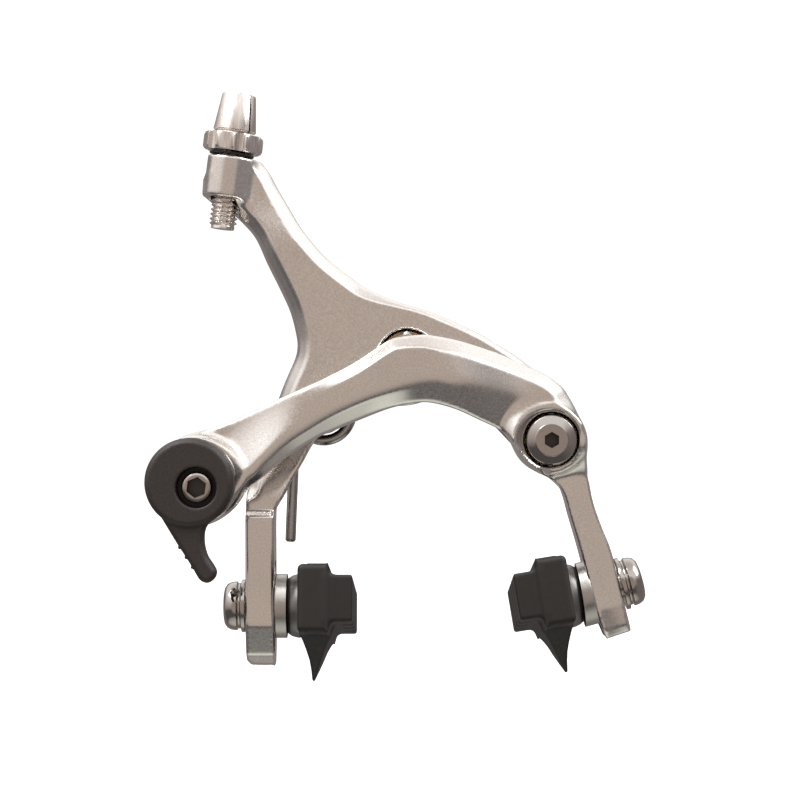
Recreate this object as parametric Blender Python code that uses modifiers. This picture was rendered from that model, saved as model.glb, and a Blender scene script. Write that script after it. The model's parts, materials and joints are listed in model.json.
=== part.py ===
"""Dual-pivot rim brake caliper, modelled as a set of separate pieces.

The origin is on the centre bolt's axis, at the face that meets the fork. +X is to the right when the
caliper is seen from the front, +Z is up and +Y points back into the fork. Sizes are in millimetres.
Run with: blender --background --python part.py
"""
import math

import bmesh
import bpy
from mathutils import Matrix, Vector

MM = 0.001
GAP = 0.3                       # clearance between pieces that touch
THIN_GAP = 0.15                 # clearance between the stacked flat washers

# Pivots and arm anchors, as (x, z)
CENTRE = (0.0, 0.0)
SIDE = (30.5, -17.6)            # side pivot
WING = (25.0, -3.0)             # end of the rear arm's wing
BEND = (17.0, -4.6)             # bend of the bracket between the pivots
BOSS = (-43.9, -26.0)           # release cam's axis in the front arm
KNEE = (-31.4, -30.0)           # top of the left leg
ADJUSTER_FOOT = (-39.8, 27.6)   # lower end of the adjuster barrel
ADJUSTER_LEAN = math.radians(7.3)

# Depths along Y; the front is negative
PLATE_BACK, PLATE_THICK = -2.3, 3.9
THRUST_THICK = 0.8
WEB_THICK = 8.4                 # rear arm
HUB_THICK = 8.7
ARCH_FRONT, ARCH_THICK = -27.0, 9.5
SIDE_HUB_FRONT = -21.9
CAM_BOSS_FRONT = -25.4
LEG_MID, LEG_DEPTH = -12.0, 11.0
EDGE_BEVEL = 1.4
FACE_STEP = 0.15               # step between faces that would otherwise be in one plane

# Round sizes (radii)
STUD_R, STUD_LENGTH = 3.0, 24.0
PIVOT_R, BUSH_WALL = 3.6, 0.7
HUB_R, HEAD_POCKET_R, HEAD_POCKET_DEPTH = 10.0, 6.0, 3.6
SIDE_HUB_R, SIDE_CAP_R, SIDE_SHANK_R = 7.3, 5.35, 3.2
CAM_R, CAM_WALL, CAM_BOSS_R = 5.2, 0.6, 9.0
ANCHOR_OFFSET = (0.4, -1.2)
ANCHOR_R, ANCHOR_HEAD_R, ANCHOR_POCKET_R = 2.5, 3.4, 4.3
ANCHOR_NUT_R = 4.6              # to the corners
LEVER_DISC_R, LEVER_DISC_THICK, LEVER_SHIFT = 9.2, 6.0, (-1.1, -0.2)
SERRATED_R, SERRATED_THICK = 7.5, 2.0
CLAMP_R, CLAMP_THICK, CLAMP_REACH = 5.2, 1.6, (2.5, 1.0)
ANCHOR_NUT_THICK = 3.0
LEVER_CHAMFER, LEVER_POCKET_DEPTH = 0.9, 4.2
SPRING_WASHER_THICK = 0.7

# Hexagon sockets, as round holes (radius, depth)
CAP_SOCKET = (1.7, 2.2)
ANCHOR_SOCKET = (2.2, 2.2)
PAD_BOLT_SOCKET = (2.3, 2.4)

# Bracket and fork nut
BRACKET_HUB_R, BEND_R, BRACKET_SIDE_R = 9.4, 5.4, 6.4
TAIL_WIDTH, TAIL_HEIGHT, TAIL_SET_IN = 3.8, 4.4, 2.1
EAR_THICK, EAR_R = 1.7, 4.6
SLEEVE_TOP, SLEEVE_LENGTH = 14.0, 17.0      # distance behind the fork face, and length
SLEEVE_R, SLEEVE_HEAD_R, SLEEVE_HEAD, SLEEVE_SOCKET = 4.0, 6.0, 2.6, 5.0

# Cable adjuster, along the barrel's axis from its foot
BARREL_LENGTH, BARREL_THREAD_R = 29.2, 2.95
CUP_LENGTH, CUP_TOP_R, CUP_LOW_R = 8.3, 3.65, 4.6
SOCKET_R, SOCKET_DEPTH, CABLE_HOLE_R = 2.6, 5.0, 0.9
NUT_R, NUT_HEIGHT, NUT_FLUTES = 6.45, 3.9, 6
NUT_TURN = math.radians(-11)     # turns the flutes away from the front
DETENT_THICK = 0.4
CABLE_BOSS_R, CABLE_BOSS_HEIGHT = 5.0, 8.9

# Legs, slots and pad hardware
LEFT_LEG_X = KNEE[0]
LEG_THICK = 6.2
LEFT_LEG_END = -66.6
RIGHT_LEG_TAIL = 10.9           # leg below the right bolt
SLOT_WIDTH, SLOT_TRAVEL = 6.3, 10.0
REACH_SHORT = 47.0              # bolt height of the shortest reach
LEFT_BOLT_Z = -53.5
RIGHT_BOLT = (42.8, -49.7)
RIGHT_LEAN = math.radians(15.2)
RIGHT_SHOE_ROLL = math.radians(9.3)
PAD_NOSE_UP = math.radians(9.4)
BOLT_R, BOLT_HEAD_R, BOLT_HEAD_HEIGHT = 2.9, 5.25, 3.0
OUTER_WASHER_R, OUTER_WASHER_THICK = 5.65, 0.9
LOCK_WASHER_R, LOCK_WASHER_THICK = 4.9, 0.5
INNER_WASHER_R, INNER_WASHER_THICK = 6.9, 2.4
SHOE_BOSS_LENGTH, SHOE_BOSS_R, SHOE_BASE_R = 2.8, 6.0, 6.9
STEM_R, STEM_LENGTH = 4.0, 3.3
PAD_LENGTH, PAD_BASE_HEIGHT, PAD_BASE_THICK = 50.0, 14.0, 6.6
BLOCK_HEIGHT, BLOCK_THICK = 9.6, 4.7
FIN_DROP, FIN_LENGTH = 9.0, 14.0

# Return spring and its holder
WIRE_R, COIL_R, COIL_TURNS = 1.15, 6.1, 1.25
COIL_CENTRE = (-18.2, -11.9)
COIL_BACK, COIL_PITCH = -3.35, 2.6
SPRING_LEG_END = (-25.4, -40.1)
SPRING_SEAT_Z, SPRING_SEAT_WIDTH, SPRING_SEAT_HEIGHT, SPRING_SEAT_DEPTH = -23.0, 3.4, 8.0, 3.6
HOLDER_SCREW_R, HOLDER_HEAD_R, HOLDER_HEAD = 1.2, 2.4, 1.2

# Centering screw and the lug that it meets on the front arm
CENTERING_X, CENTERING_R = 18.5, 1.9
CENTERING_TOP, CENTERING_TIP, CENTERING_SOCKET = 1.8, -9.0, 1.8
LUG_WIDTH, LUG_HEIGHT = 5.0, 4.0
LUG_PLAY = 0.6                  # between the screw's tip and the lug

# Depths that follow from the ones above
PLATE_FRONT = PLATE_BACK - PLATE_THICK
ARM_BACK = PLATE_FRONT - THRUST_THICK - 2 * GAP
HUB_FRONT = ARM_BACK - HUB_THICK
WEB_FRONT = ARM_BACK - WEB_THICK
ARCH_BACK = ARCH_FRONT + ARCH_THICK
POCKET_FLOOR = HUB_FRONT + HEAD_POCKET_DEPTH
CAP_FLOOR = SIDE_HUB_FRONT + 2.9
ANCHOR = (BOSS[0] + ANCHOR_OFFSET[0], BOSS[1] + ANCHOR_OFFSET[1])

parts = bpy.data.collections.new("rim_brake_caliper")
cutters = bpy.data.collections.new("cutters")
materials = {}
bodies = {}


# ---------------------------------------------------------------- helpers
def start_scene():
    """Empty the scene and add the two collections."""
    for old in list(bpy.data.objects):
        bpy.data.objects.remove(old, do_unlink=True)
    for collection in (parts, cutters):
        bpy.context.scene.collection.children.link(collection)


def add_material(name, color, roughness, metallic):
    material = bpy.data.materials.new(name)
    material.use_nodes = True
    shader = material.node_tree.nodes["Principled BSDF"]
    shader.inputs["Base Color"].default_value = (*color, 1.0)
    shader.inputs["Roughness"].default_value = roughness
    shader.inputs["Metallic"].default_value = metallic
    materials[name] = material


def add_body(name, x, y, z, parent=None):
    """Empty on a joint's axis, which the pieces of one moving body hang on."""
    empty = bpy.data.objects.new(name + "_axis", None)
    parts.objects.link(empty)
    empty.location = Vector((x, y, z)) * MM
    if parent:
        empty.parent = bodies[parent]
        bpy.context.view_layer.update()
        empty.matrix_parent_inverse = bodies[parent].matrix_world.inverted()
    bodies[name] = empty
    bpy.context.view_layer.update()


def frame_at(point, axis=(0, -1, 0), up=(0, 0, 1)):
    """Matrix at a point in mm, with local +Z along the axis and local +Y close to up."""
    z = Vector(axis).normalized()
    y = Vector(up)
    y = (y - y.dot(z) * z).normalized()
    matrix = Matrix((y.cross(z), y, z)).transposed().to_4x4()
    matrix.translation = Vector(point) * MM
    return matrix


def finish(name, mesh, frame, material=None, body=None):
    """Make the object for a mesh: a part if it has a material, and a cutter if it has none."""
    obj = bpy.data.objects.new(name, mesh)
    obj.matrix_world = frame
    if material is None:
        cutters.objects.link(obj)
        obj.hide_render = True
        obj.display_type = "WIRE"
        return obj
    parts.objects.link(obj)
    mesh.materials.append(materials[material])
    if body:
        obj.parent = bodies[body]
        obj.matrix_parent_inverse = bodies[body].matrix_world.inverted()
    return obj


def smooth(obj, angle=35):
    obj.data.shade_smooth()
    obj.data.set_sharp_from_angle(angle=math.radians(angle))
    return obj


def turned(name, profile, frame, material=None, body=None, steps=28):
    """Solid of revolution about local Z from (radius, height) points, outer side first, top down."""
    mesh = bpy.data.meshes.new(name)
    points = [(radius * MM, 0, height * MM) for radius, height in profile]
    edges = [(i, i + 1) for i in range(len(points) - 1)]
    if profile[0][0] > 0:
        edges.append((len(points) - 1, 0))
    mesh.from_pydata(points, edges, [])
    obj = finish(name, mesh, frame, material, body)
    screw = obj.modifiers.new("Screw", "SCREW")
    screw.steps = screw.render_steps = steps
    screw.use_merge_vertices = True
    screw.merge_threshold = 0.00001
    return obj


def rod_profile(radius, low, high):
    return [(0, high), (radius, high), (radius, low), (0, low)]


def ring_profile(outer, inner, low, high):
    return [(outer, high), (outer, low), (inner, low), (inner, high)]


def rod(name, radius, low, high, frame, material=None, body=None, steps=28):
    return turned(name, rod_profile(radius, low, high), frame, material, body, steps)


def ring(name, outer, inner, low, high, frame, material=None, body=None, steps=28):
    return turned(name, ring_profile(outer, inner, low, high), frame, material, body, steps)


def outline(name, points, back, front, material=None, body=None, bevel=0.0, round_corners=False):
    """Flat outline of (x, z) points, filled and given a depth from back to front along Y."""
    frame = frame_at((0, (back + front) / 2, 0))
    return flat(name, points, abs(back - front), frame, material, body, bevel, round_corners)


def flat(name, points, depth, frame, material=None, body=None, bevel=0.0, round_corners=False):
    """Outline of points in the frame's XY plane, filled and given a depth centred on that plane."""
    curve = bpy.data.curves.new(name, "CURVE")
    curve.dimensions = "2D"
    curve.fill_mode = "BOTH"
    curve.resolution_u = 3
    if round_corners:
        spline = curve.splines.new("BEZIER")
        spline.bezier_points.add(len(points) - 1)
        for knot, (x, z) in zip(spline.bezier_points, points):
            knot.co = (x * MM, z * MM, 0)
            knot.handle_left_type = knot.handle_right_type = "AUTO"
    else:
        spline = curve.splines.new("POLY")
        spline.points.add(len(points) - 1)
        for knot, (x, z) in zip(spline.points, points):
            knot.co = (x * MM, z * MM, 0, 1)
    spline.use_cyclic_u = True
    curve.extrude = (depth / 2 - bevel) * MM
    curve.bevel_depth = bevel * MM
    curve.offset = -bevel * MM
    curve.bevel_resolution = 0
    source = bpy.data.objects.new(name + "_curve", curve)
    bpy.context.scene.collection.objects.link(source)
    depsgraph = bpy.context.evaluated_depsgraph_get()
    mesh = bpy.data.meshes.new_from_object(source.evaluated_get(depsgraph))
    bpy.data.objects.remove(source, do_unlink=True)
    weld_mesh(mesh)
    return finish(name, mesh, frame, material, body)


def weld_mesh(mesh):
    work = bmesh.new()
    work.from_mesh(mesh)
    bmesh.ops.remove_doubles(work, verts=work.verts, dist=0.000002)
    bmesh.ops.recalc_face_normals(work, faces=work.faces)
    work.to_mesh(mesh)
    work.free()


def block(name, size, frame, material=None, body=None):
    """Box of a size in mm, centred on the frame."""
    mesh = bpy.data.meshes.new(name)
    work = bmesh.new()
    bmesh.ops.create_cube(work, size=1.0)
    bmesh.ops.scale(work, vec=Vector(size) * MM, verts=work.verts)
    work.to_mesh(mesh)
    work.free()
    return finish(name, mesh, frame, material, body)


def wire(name, points, radius, material, body=None):
    """Round wire through (x, y, z) points."""
    curve = bpy.data.curves.new(name, "CURVE")
    curve.dimensions = "3D"
    curve.bevel_depth = radius * MM
    curve.bevel_resolution = 2
    curve.use_fill_caps = True
    spline = curve.splines.new("POLY")
    spline.points.add(len(points) - 1)
    for knot, point in zip(spline.points, points):
        knot.co = (*(Vector(point) * MM), 1)
    source = bpy.data.objects.new(name + "_curve", curve)
    bpy.context.scene.collection.objects.link(source)
    depsgraph = bpy.context.evaluated_depsgraph_get()
    mesh = bpy.data.meshes.new_from_object(source.evaluated_get(depsgraph))
    bpy.data.objects.remove(source, do_unlink=True)
    weld_mesh(mesh)
    return finish(name, mesh, Matrix.Identity(4), material, body)


def combine(obj, other, operation):
    modifier = obj.modifiers.new(other.name, "BOOLEAN")
    modifier.operation = operation
    modifier.object = other
    if obj.name in ("y_arm", "c_arm"):
        modifier.solver = "MANIFOLD"    # the exact solver leaves open edges on these two
    return obj


def cut(obj, cutter):
    return combine(obj, cutter, "DIFFERENCE")


def join(obj, other):
    return combine(obj, other, "UNION")


def bevel_edges(obj, width, segments=1, angle=40):
    modifier = obj.modifiers.new("Bevel", "BEVEL")
    modifier.width = width * MM
    modifier.segments = segments
    modifier.limit_method = "ANGLE"
    modifier.angle_limit = math.radians(angle)
    return obj


def between(start, end, stations):
    """Points given as (fraction of the way from start to end, distance to the left of the line)."""
    dx, dz = end[0] - start[0], end[1] - start[1]
    length = math.hypot(dx, dz)
    result = []
    for fraction, left in stations:
        x = start[0] + fraction * dx - left * dz / length
        z = start[1] + fraction * dz + left * dx / length
        result.append((x, z))
    return result


def link_outline(start, start_r, end, end_r, steps=14):
    """Outline round two circles of different radii and the straight sides between them."""
    dx, dz = end[0] - start[0], end[1] - start[1]
    heading = math.atan2(dz, dx)
    spread = math.acos((start_r - end_r) / math.hypot(dx, dz))
    points = []
    for centre, radius, first, sweep in (
        (end, end_r, heading - spread, 2 * spread),
        (start, start_r, heading + spread, 2 * math.pi - 2 * spread),
    ):
        for step in range(steps + 1):
            angle = first + sweep * step / steps
            points.append((centre[0] + radius * math.cos(angle), centre[1] + radius * math.sin(angle)))
    return points


def bent_outline(start, start_r, bend, bend_r, end, end_r, steps=14):
    """Outline of two links that meet in a bend to the right, with a sharp inner corner."""
    (x0, z0), (x1, z1), (x2, z2) = start, bend, end
    first, second = math.atan2(z1 - z0, x1 - x0), math.atan2(z2 - z1, x2 - x1)
    first_spread = math.acos((start_r - bend_r) / math.hypot(x1 - x0, z1 - z0))
    second_spread = math.acos((bend_r - end_r) / math.hypot(x2 - x1, z2 - z1))
    points = []
    for centre, radius, begin, stop in (
        (end, end_r, second - second_spread, second + second_spread),
        (bend, bend_r, second + second_spread, first + first_spread),
        (start, start_r, first + first_spread, first - first_spread + 2 * math.pi),
    ):
        for step in range(steps + 1):
            angle = begin + (stop - begin) * step / steps
            points.append((centre[0] + radius * math.cos(angle), centre[1] + radius * math.sin(angle)))
    half = (first - first_spread - second + second_spread) / 2
    middle = (first - first_spread + second - second_spread) / 2
    reach = bend_r / math.cos(half)
    points.append((bend[0] + reach * math.cos(middle), bend[1] + reach * math.sin(middle)))
    return points


def pivot_frame(point, depth=0.0):
    """Frame on an axis along Y, with local +Z to the front, at a depth."""
    return frame_at((point[0], depth, point[1]))


# ---------------------------------------------------------------- mounting group
def make_bracket():
    """Plate between the two pivots, with a tail that carries the return spring."""
    shape = bent_outline(CENTRE, BRACKET_HUB_R, BEND, BEND_R, SIDE, BRACKET_SIDE_R)
    plate = outline("link_bracket", shape, PLATE_BACK, PLATE_FRONT, "steel")
    tail_x = -(SERRATED_R + GAP)
    tail_back = PLATE_BACK + TAIL_SET_IN
    tail_z = COIL_CENTRE[1] + COIL_R
    tail_depth = tail_back - PLATE_FRONT
    tail_frame = frame_at((tail_x - TAIL_WIDTH / 2, tail_back - tail_depth / 2, tail_z))
    join(plate, block("bracket_tail", (TAIL_WIDTH, TAIL_HEIGHT, tail_depth), tail_frame))
    ear_start = (tail_x - TAIL_WIDTH / 2 - 0.4, tail_z)
    ear_shape = link_outline(ear_start, 2.6, COIL_CENTRE, EAR_R)
    ear = outline("bracket_ear", ear_shape, tail_back - 0.1, tail_back - EAR_THICK)
    join(plate, ear)
    cut(plate, rod("stud_hole", STUD_R + GAP, -40, 40, pivot_frame(CENTRE)))
    cut(plate, rod("side_bolt_hole", SIDE_SHANK_R + GAP, -40, 40, pivot_frame(SIDE)))
    cut(plate, rod("holder_screw_hole", HOLDER_SCREW_R + GAP, -40, 40, pivot_frame(COIL_CENTRE)))
    spring_hole = frame_at((tail_x - TAIL_WIDTH, COIL_BACK, tail_z), (1, 0, 0))
    cut(plate, rod("spring_hole", WIRE_R + GAP, -3, 3.6, spring_hole, steps=16))


def make_centre_pivot():
    frame = pivot_frame(CENTRE)
    nut_low, nut_high = -POCKET_FLOOR + THRUST_THICK + 2 * GAP, -HUB_FRONT - 0.2
    stud = [(0, nut_high), (STUD_R - GAP, nut_high), (STUD_R - GAP, nut_low), (PIVOT_R, nut_low),
            (PIVOT_R, -PLATE_FRONT + GAP), (STUD_R, -PLATE_FRONT + GAP), (STUD_R, -STUD_LENGTH),
            (0, -STUD_LENGTH)]
    turned("center_bolt", stud, frame, "steel")
    ring("pivot_nut", HEAD_POCKET_R - 0.4, STUD_R, nut_low, nut_high, frame, "steel")
    washer_low = -POCKET_FLOOR + GAP
    ring("center_front_washer", HEAD_POCKET_R - 0.4, PIVOT_R + GAP, washer_low, washer_low + THRUST_THICK,
         frame, "brass")
    thrust_low = -PLATE_FRONT + GAP
    ring("center_thrust_washer", HUB_R - 2, PIVOT_R + GAP, thrust_low, thrust_low + THRUST_THICK, frame,
         "brass")
    ring("serrated_washer", SERRATED_R, STUD_R + GAP, 0, SERRATED_THICK, frame, "steel")
    low, bore = -SLEEVE_TOP - SLEEVE_LENGTH, STUD_R + GAP
    sleeve = [(SLEEVE_R, -SLEEVE_TOP), (SLEEVE_R, low + SLEEVE_HEAD), (SLEEVE_HEAD_R, low + SLEEVE_HEAD),
              (SLEEVE_HEAD_R, low), (bore - 0.4, low), (bore - 0.4, low + SLEEVE_SOCKET),
              (bore, low + SLEEVE_SOCKET), (bore, -SLEEVE_TOP)]
    turned("fork_sleeve_nut", sleeve, frame, "steel")


def make_side_pivot():
    frame = pivot_frame(SIDE)
    cap_top, cap_low = -SIDE_HUB_FRONT + 0.3, -CAP_FLOOR + GAP
    socket_r, socket_depth = CAP_SOCKET
    bolt = [(0, cap_top - socket_depth), (socket_r, cap_top - socket_depth), (socket_r, cap_top),
            (SIDE_CAP_R - 0.6, cap_top), (SIDE_CAP_R, cap_top - 0.6), (SIDE_CAP_R, cap_low),
            (SIDE_SHANK_R, cap_low), (SIDE_SHANK_R, -PLATE_BACK), (0, -PLATE_BACK)]
    turned("side_pivot_bolt", bolt, frame, "chrome")
    washer_low = -PLATE_FRONT + GAP
    ring("side_thrust_washer", SIDE_HUB_R - 0.6, SIDE_SHANK_R + GAP, washer_low, washer_low + THRUST_THICK,
         frame, "brass")
    bush_r = SIDE_SHANK_R + GAP
    ring("side_pivot_bush", bush_r + BUSH_WALL, bush_r, -ARM_BACK + GAP, -CAP_FLOOR - GAP, frame, "brass",
         "c_arm")


def make_return_spring():
    """Short end in the bracket's tail, coil round the holder, long leg down beside the left leg."""
    tail_z = COIL_CENTRE[1] + COIL_R
    points = [(-(SERRATED_R + GAP) - 2.5, COIL_BACK, tail_z)]
    steps = 22
    for step in range(steps + 1):
        turn = COIL_TURNS * step / steps
        angle = math.pi / 2 + 2 * math.pi * turn
        x = COIL_CENTRE[0] + COIL_R * math.cos(angle)
        z = COIL_CENTRE[1] + COIL_R * math.sin(angle)
        points.append((x, COIL_BACK - COIL_PITCH * step / steps, z))
    points.append((SPRING_LEG_END[0], points[-1][1], SPRING_LEG_END[1]))
    smooth(wire("return_spring", points, WIRE_R, "spring_steel"))
    frame = pivot_frame(COIL_CENTRE)
    ear_front = -PLATE_BACK - TAIL_SET_IN + EAR_THICK
    holder_r = COIL_R - WIRE_R - GAP
    ring("spring_holder", holder_r, HOLDER_SCREW_R + GAP, ear_front + GAP, -ARM_BACK - 2 * GAP, frame,
         "nylon")
    head_front = ear_front - EAR_THICK + 0.1 - GAP
    head_back = head_front - HOLDER_HEAD
    screw = [(0, ear_front + 4), (HOLDER_SCREW_R, ear_front + 4), (HOLDER_SCREW_R, head_front),
             (HOLDER_HEAD_R, head_front), (HOLDER_HEAD_R - 0.4, head_back), (0, head_back)]
    turned("spring_holder_screw", screw, frame, "steel", steps=20)


# ---------------------------------------------------------------- rear arm
def adjuster_frame(height=0.0):
    """Frame on the barrel's axis, at a height above its foot, with local +Z up the barrel."""
    axis = (math.sin(ADJUSTER_LEAN), 0, math.cos(ADJUSTER_LEAN))
    point = (ADJUSTER_FOOT[0] + axis[0] * height, LEG_MID, ADJUSTER_FOOT[1] + axis[2] * height)
    return frame_at(point, axis, (0, 1, 0))


def y_arm_outline(boss):
    """Contour of the rear arm's web, from the cable boss down its left side and back up the right."""
    leg_stub = -36.0
    points = [(boss[0] - CABLE_BOSS_R + 0.2, boss[1] + 1.5)]
    points += between(CENTRE, boss, [(0.99, 6.2), (0.91, 5.0), (0.83, 4.8), (0.75, 5.3), (0.61, 8.1),
                                     (0.46, 11.0), (0.34, 15.3)])
    points += between(CENTRE, KNEE, [(0.41, -16.3), (0.53, -14.1), (0.76, -9.5), (0.91, -6.5)])
    points += [(LEFT_LEG_X - LEG_THICK / 2 + 0.2, leg_stub), (LEFT_LEG_X + LEG_THICK / 2 - 0.2, leg_stub)]
    points += between(CENTRE, KNEE, [(0.97, 3.7), (0.83, 2.0), (0.73, 0.8), (0.59, -0.6), (0.40, 0.7)])
    points += between(CENTRE, WING, [(0.05, -9.9), (0.35, -6.5), (0.58, -3.8), (0.86, -4.0)])
    points += between(CENTRE, WING, [(1.04, -1.2), (0.97, 2.3), (0.80, 4.4), (0.41, 8.4), (0.15, 10.2)])
    points += between(CENTRE, boss, [(0.20, -6.4), (0.31, -4.2), (0.39, -3.5), (0.53, -2.7), (0.64, -3.2),
                                     (0.75, -4.5), (0.87, -6.0)])
    points.append((boss[0] + CABLE_BOSS_R + 2.2, boss[1] + 3.0))
    return points


def slot_cutter(name, middle, across, up):
    """Slot with round ends through a leg, for the bolt's whole travel along the leg."""
    half, radius = SLOT_TRAVEL / 2, SLOT_WIDTH / 2
    shape = link_outline((0, -half), radius, (0, half), radius, steps=10)
    return flat(name, shape, 4 * LEG_THICK, frame_at(middle, across, up))


def make_y_arm():
    lean = Vector((math.sin(ADJUSTER_LEAN), 0, math.cos(ADJUSTER_LEAN)))
    boss_top = BARREL_LENGTH - CUP_LENGTH - NUT_HEIGHT - DETENT_THICK - 3 * GAP
    boss_mid = boss_top - CABLE_BOSS_HEIGHT / 2
    boss = (ADJUSTER_FOOT[0] + lean.x * boss_mid, ADJUSTER_FOOT[1] + lean.z * boss_mid)
    arm = outline("y_arm", y_arm_outline(boss), ARM_BACK - 0.3, WEB_FRONT, "aluminium", "y_arm",
                  bevel=EDGE_BEVEL, round_corners=True)
    leg_top = KNEE[1] - 3.0
    leg_size = (LEG_THICK, leg_top - LEFT_LEG_END, LEG_DEPTH)
    leg = block("left_leg", leg_size, frame_at((LEFT_LEG_X, LEG_MID, (leg_top + LEFT_LEG_END) / 2)))
    join(arm, bevel_edges(leg, 1.2))
    join(arm, rod("cable_boss", CABLE_BOSS_R, boss_top - CABLE_BOSS_HEIGHT, boss_top, adjuster_frame()))
    join(arm, rod("y_hub", HUB_R, -ARM_BACK, -HUB_FRONT, pivot_frame(CENTRE)))
    cut(arm, rod("barrel_bore", BARREL_THREAD_R + GAP, -5, 60, adjuster_frame()))
    cut(arm, rod("nut_space", NUT_R + 1.0, boss_top + FACE_STEP, 60, adjuster_frame()))
    cut(arm, rod("head_pocket", HEAD_POCKET_R, -POCKET_FLOOR, 60, pivot_frame(CENTRE)))
    bush_r = PIVOT_R + GAP
    bush_outer = bush_r + BUSH_WALL
    cut(arm, rod("y_bore", bush_outer + GAP, -10, 60, pivot_frame(CENTRE)))
    ring("y_arm_bush", bush_outer, bush_r, -ARM_BACK + GAP, -POCKET_FLOOR - GAP, pivot_frame(CENTRE),
         "brass", "y_arm")
    slot_mid = (LEFT_LEG_X, LEG_MID, -REACH_SHORT - SLOT_TRAVEL / 2)
    cut(arm, slot_cutter("left_slot", slot_mid, (1, 0, 0), (0, 0, 1)))
    make_centering_screw(arm)
    wire_x = COIL_CENTRE[0] - COIL_R - WIRE_R
    seat_x = wire_x + (SPRING_LEG_END[0] - COIL_CENTRE[0] + COIL_R) * 0.25 - GAP - SPRING_SEAT_WIDTH / 2
    seat_frame = frame_at((seat_x, ARM_BACK + SPRING_SEAT_DEPTH / 2, SPRING_SEAT_Z))
    seat_size = (SPRING_SEAT_WIDTH, SPRING_SEAT_HEIGHT, SPRING_SEAT_DEPTH)
    block("spring_seat", seat_size, seat_frame, "nylon", "y_arm")


def make_centering_screw(arm):
    """Set screw down through the wing, whose tip stands just off the front arm's lug."""
    top, tip, socket_r = CENTERING_TOP, CENTERING_TIP, CENTERING_R - 0.9
    frame = frame_at((CENTERING_X, LEG_MID, 0), (0, 0, 1), (0, 1, 0))
    screw = [(0, top - CENTERING_SOCKET), (socket_r, top - CENTERING_SOCKET), (socket_r, top),
             (CENTERING_R, top), (CENTERING_R, tip + 0.6), (CENTERING_R - 0.6, tip), (0, tip)]
    turned("centering_screw", screw, frame, "steel", "centering_screw", steps=18)
    cut(arm, rod("centering_hole", CENTERING_R + GAP, -20, 20, frame, steps=18))


def make_adjuster():
    frame = adjuster_frame()
    nut_top = BARREL_LENGTH - CUP_LENGTH - GAP
    nut_low = nut_top - NUT_HEIGHT
    cup_low = BARREL_LENGTH - CUP_LENGTH
    barrel = [(CUP_TOP_R - 0.4, BARREL_LENGTH), (CUP_TOP_R, BARREL_LENGTH - 0.4), (CUP_LOW_R, cup_low + 0.3),
              (CUP_LOW_R - 0.3, cup_low), (BARREL_THREAD_R, cup_low), (BARREL_THREAD_R, 0.5),
              (BARREL_THREAD_R - 0.5, 0), (CABLE_HOLE_R, 0), (CABLE_HOLE_R, BARREL_LENGTH - SOCKET_DEPTH),
              (SOCKET_R, BARREL_LENGTH - SOCKET_DEPTH), (SOCKET_R, BARREL_LENGTH)]
    turned("adjuster_barrel", barrel, frame, "aluminium", "adjuster_barrel")
    chamfer = 0.5
    nut = turned("adjuster_nut", [(NUT_R - chamfer, nut_top), (NUT_R, nut_top - chamfer),
                                  (NUT_R, nut_low + chamfer), (NUT_R - chamfer, nut_low),
                                  (BARREL_THREAD_R + GAP, nut_low), (BARREL_THREAD_R + GAP, nut_top)],
                 frame, "aluminium", "adjuster_nut", steps=32)
    flute_r, flute_distance = 1.15, NUT_R + 0.15
    for index in range(NUT_FLUTES):
        turn = Matrix.Rotation(NUT_TURN + 2 * math.pi * index / NUT_FLUTES, 4, "Z")
        place = frame @ turn @ Matrix.Translation((flute_distance * MM, 0, 0))
        cut(nut, rod("nut_flute_%d" % index, flute_r, 0, 40, place, steps=16))
    ring("adjuster_washer", CABLE_BOSS_R - 0.2, BARREL_THREAD_R + GAP, nut_low - GAP - DETENT_THICK,
         nut_low - GAP, frame, "nylon", "y_arm")


# ---------------------------------------------------------------- front arm
def right_axes():
    """Unit vectors of the right leg: up along it, and inwards across it to the rim."""
    up = Vector((-math.sin(RIGHT_LEAN), 0, math.cos(RIGHT_LEAN)))
    inward = Vector((-math.cos(RIGHT_LEAN), 0, -math.sin(RIGHT_LEAN)))
    return up, inward


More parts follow.
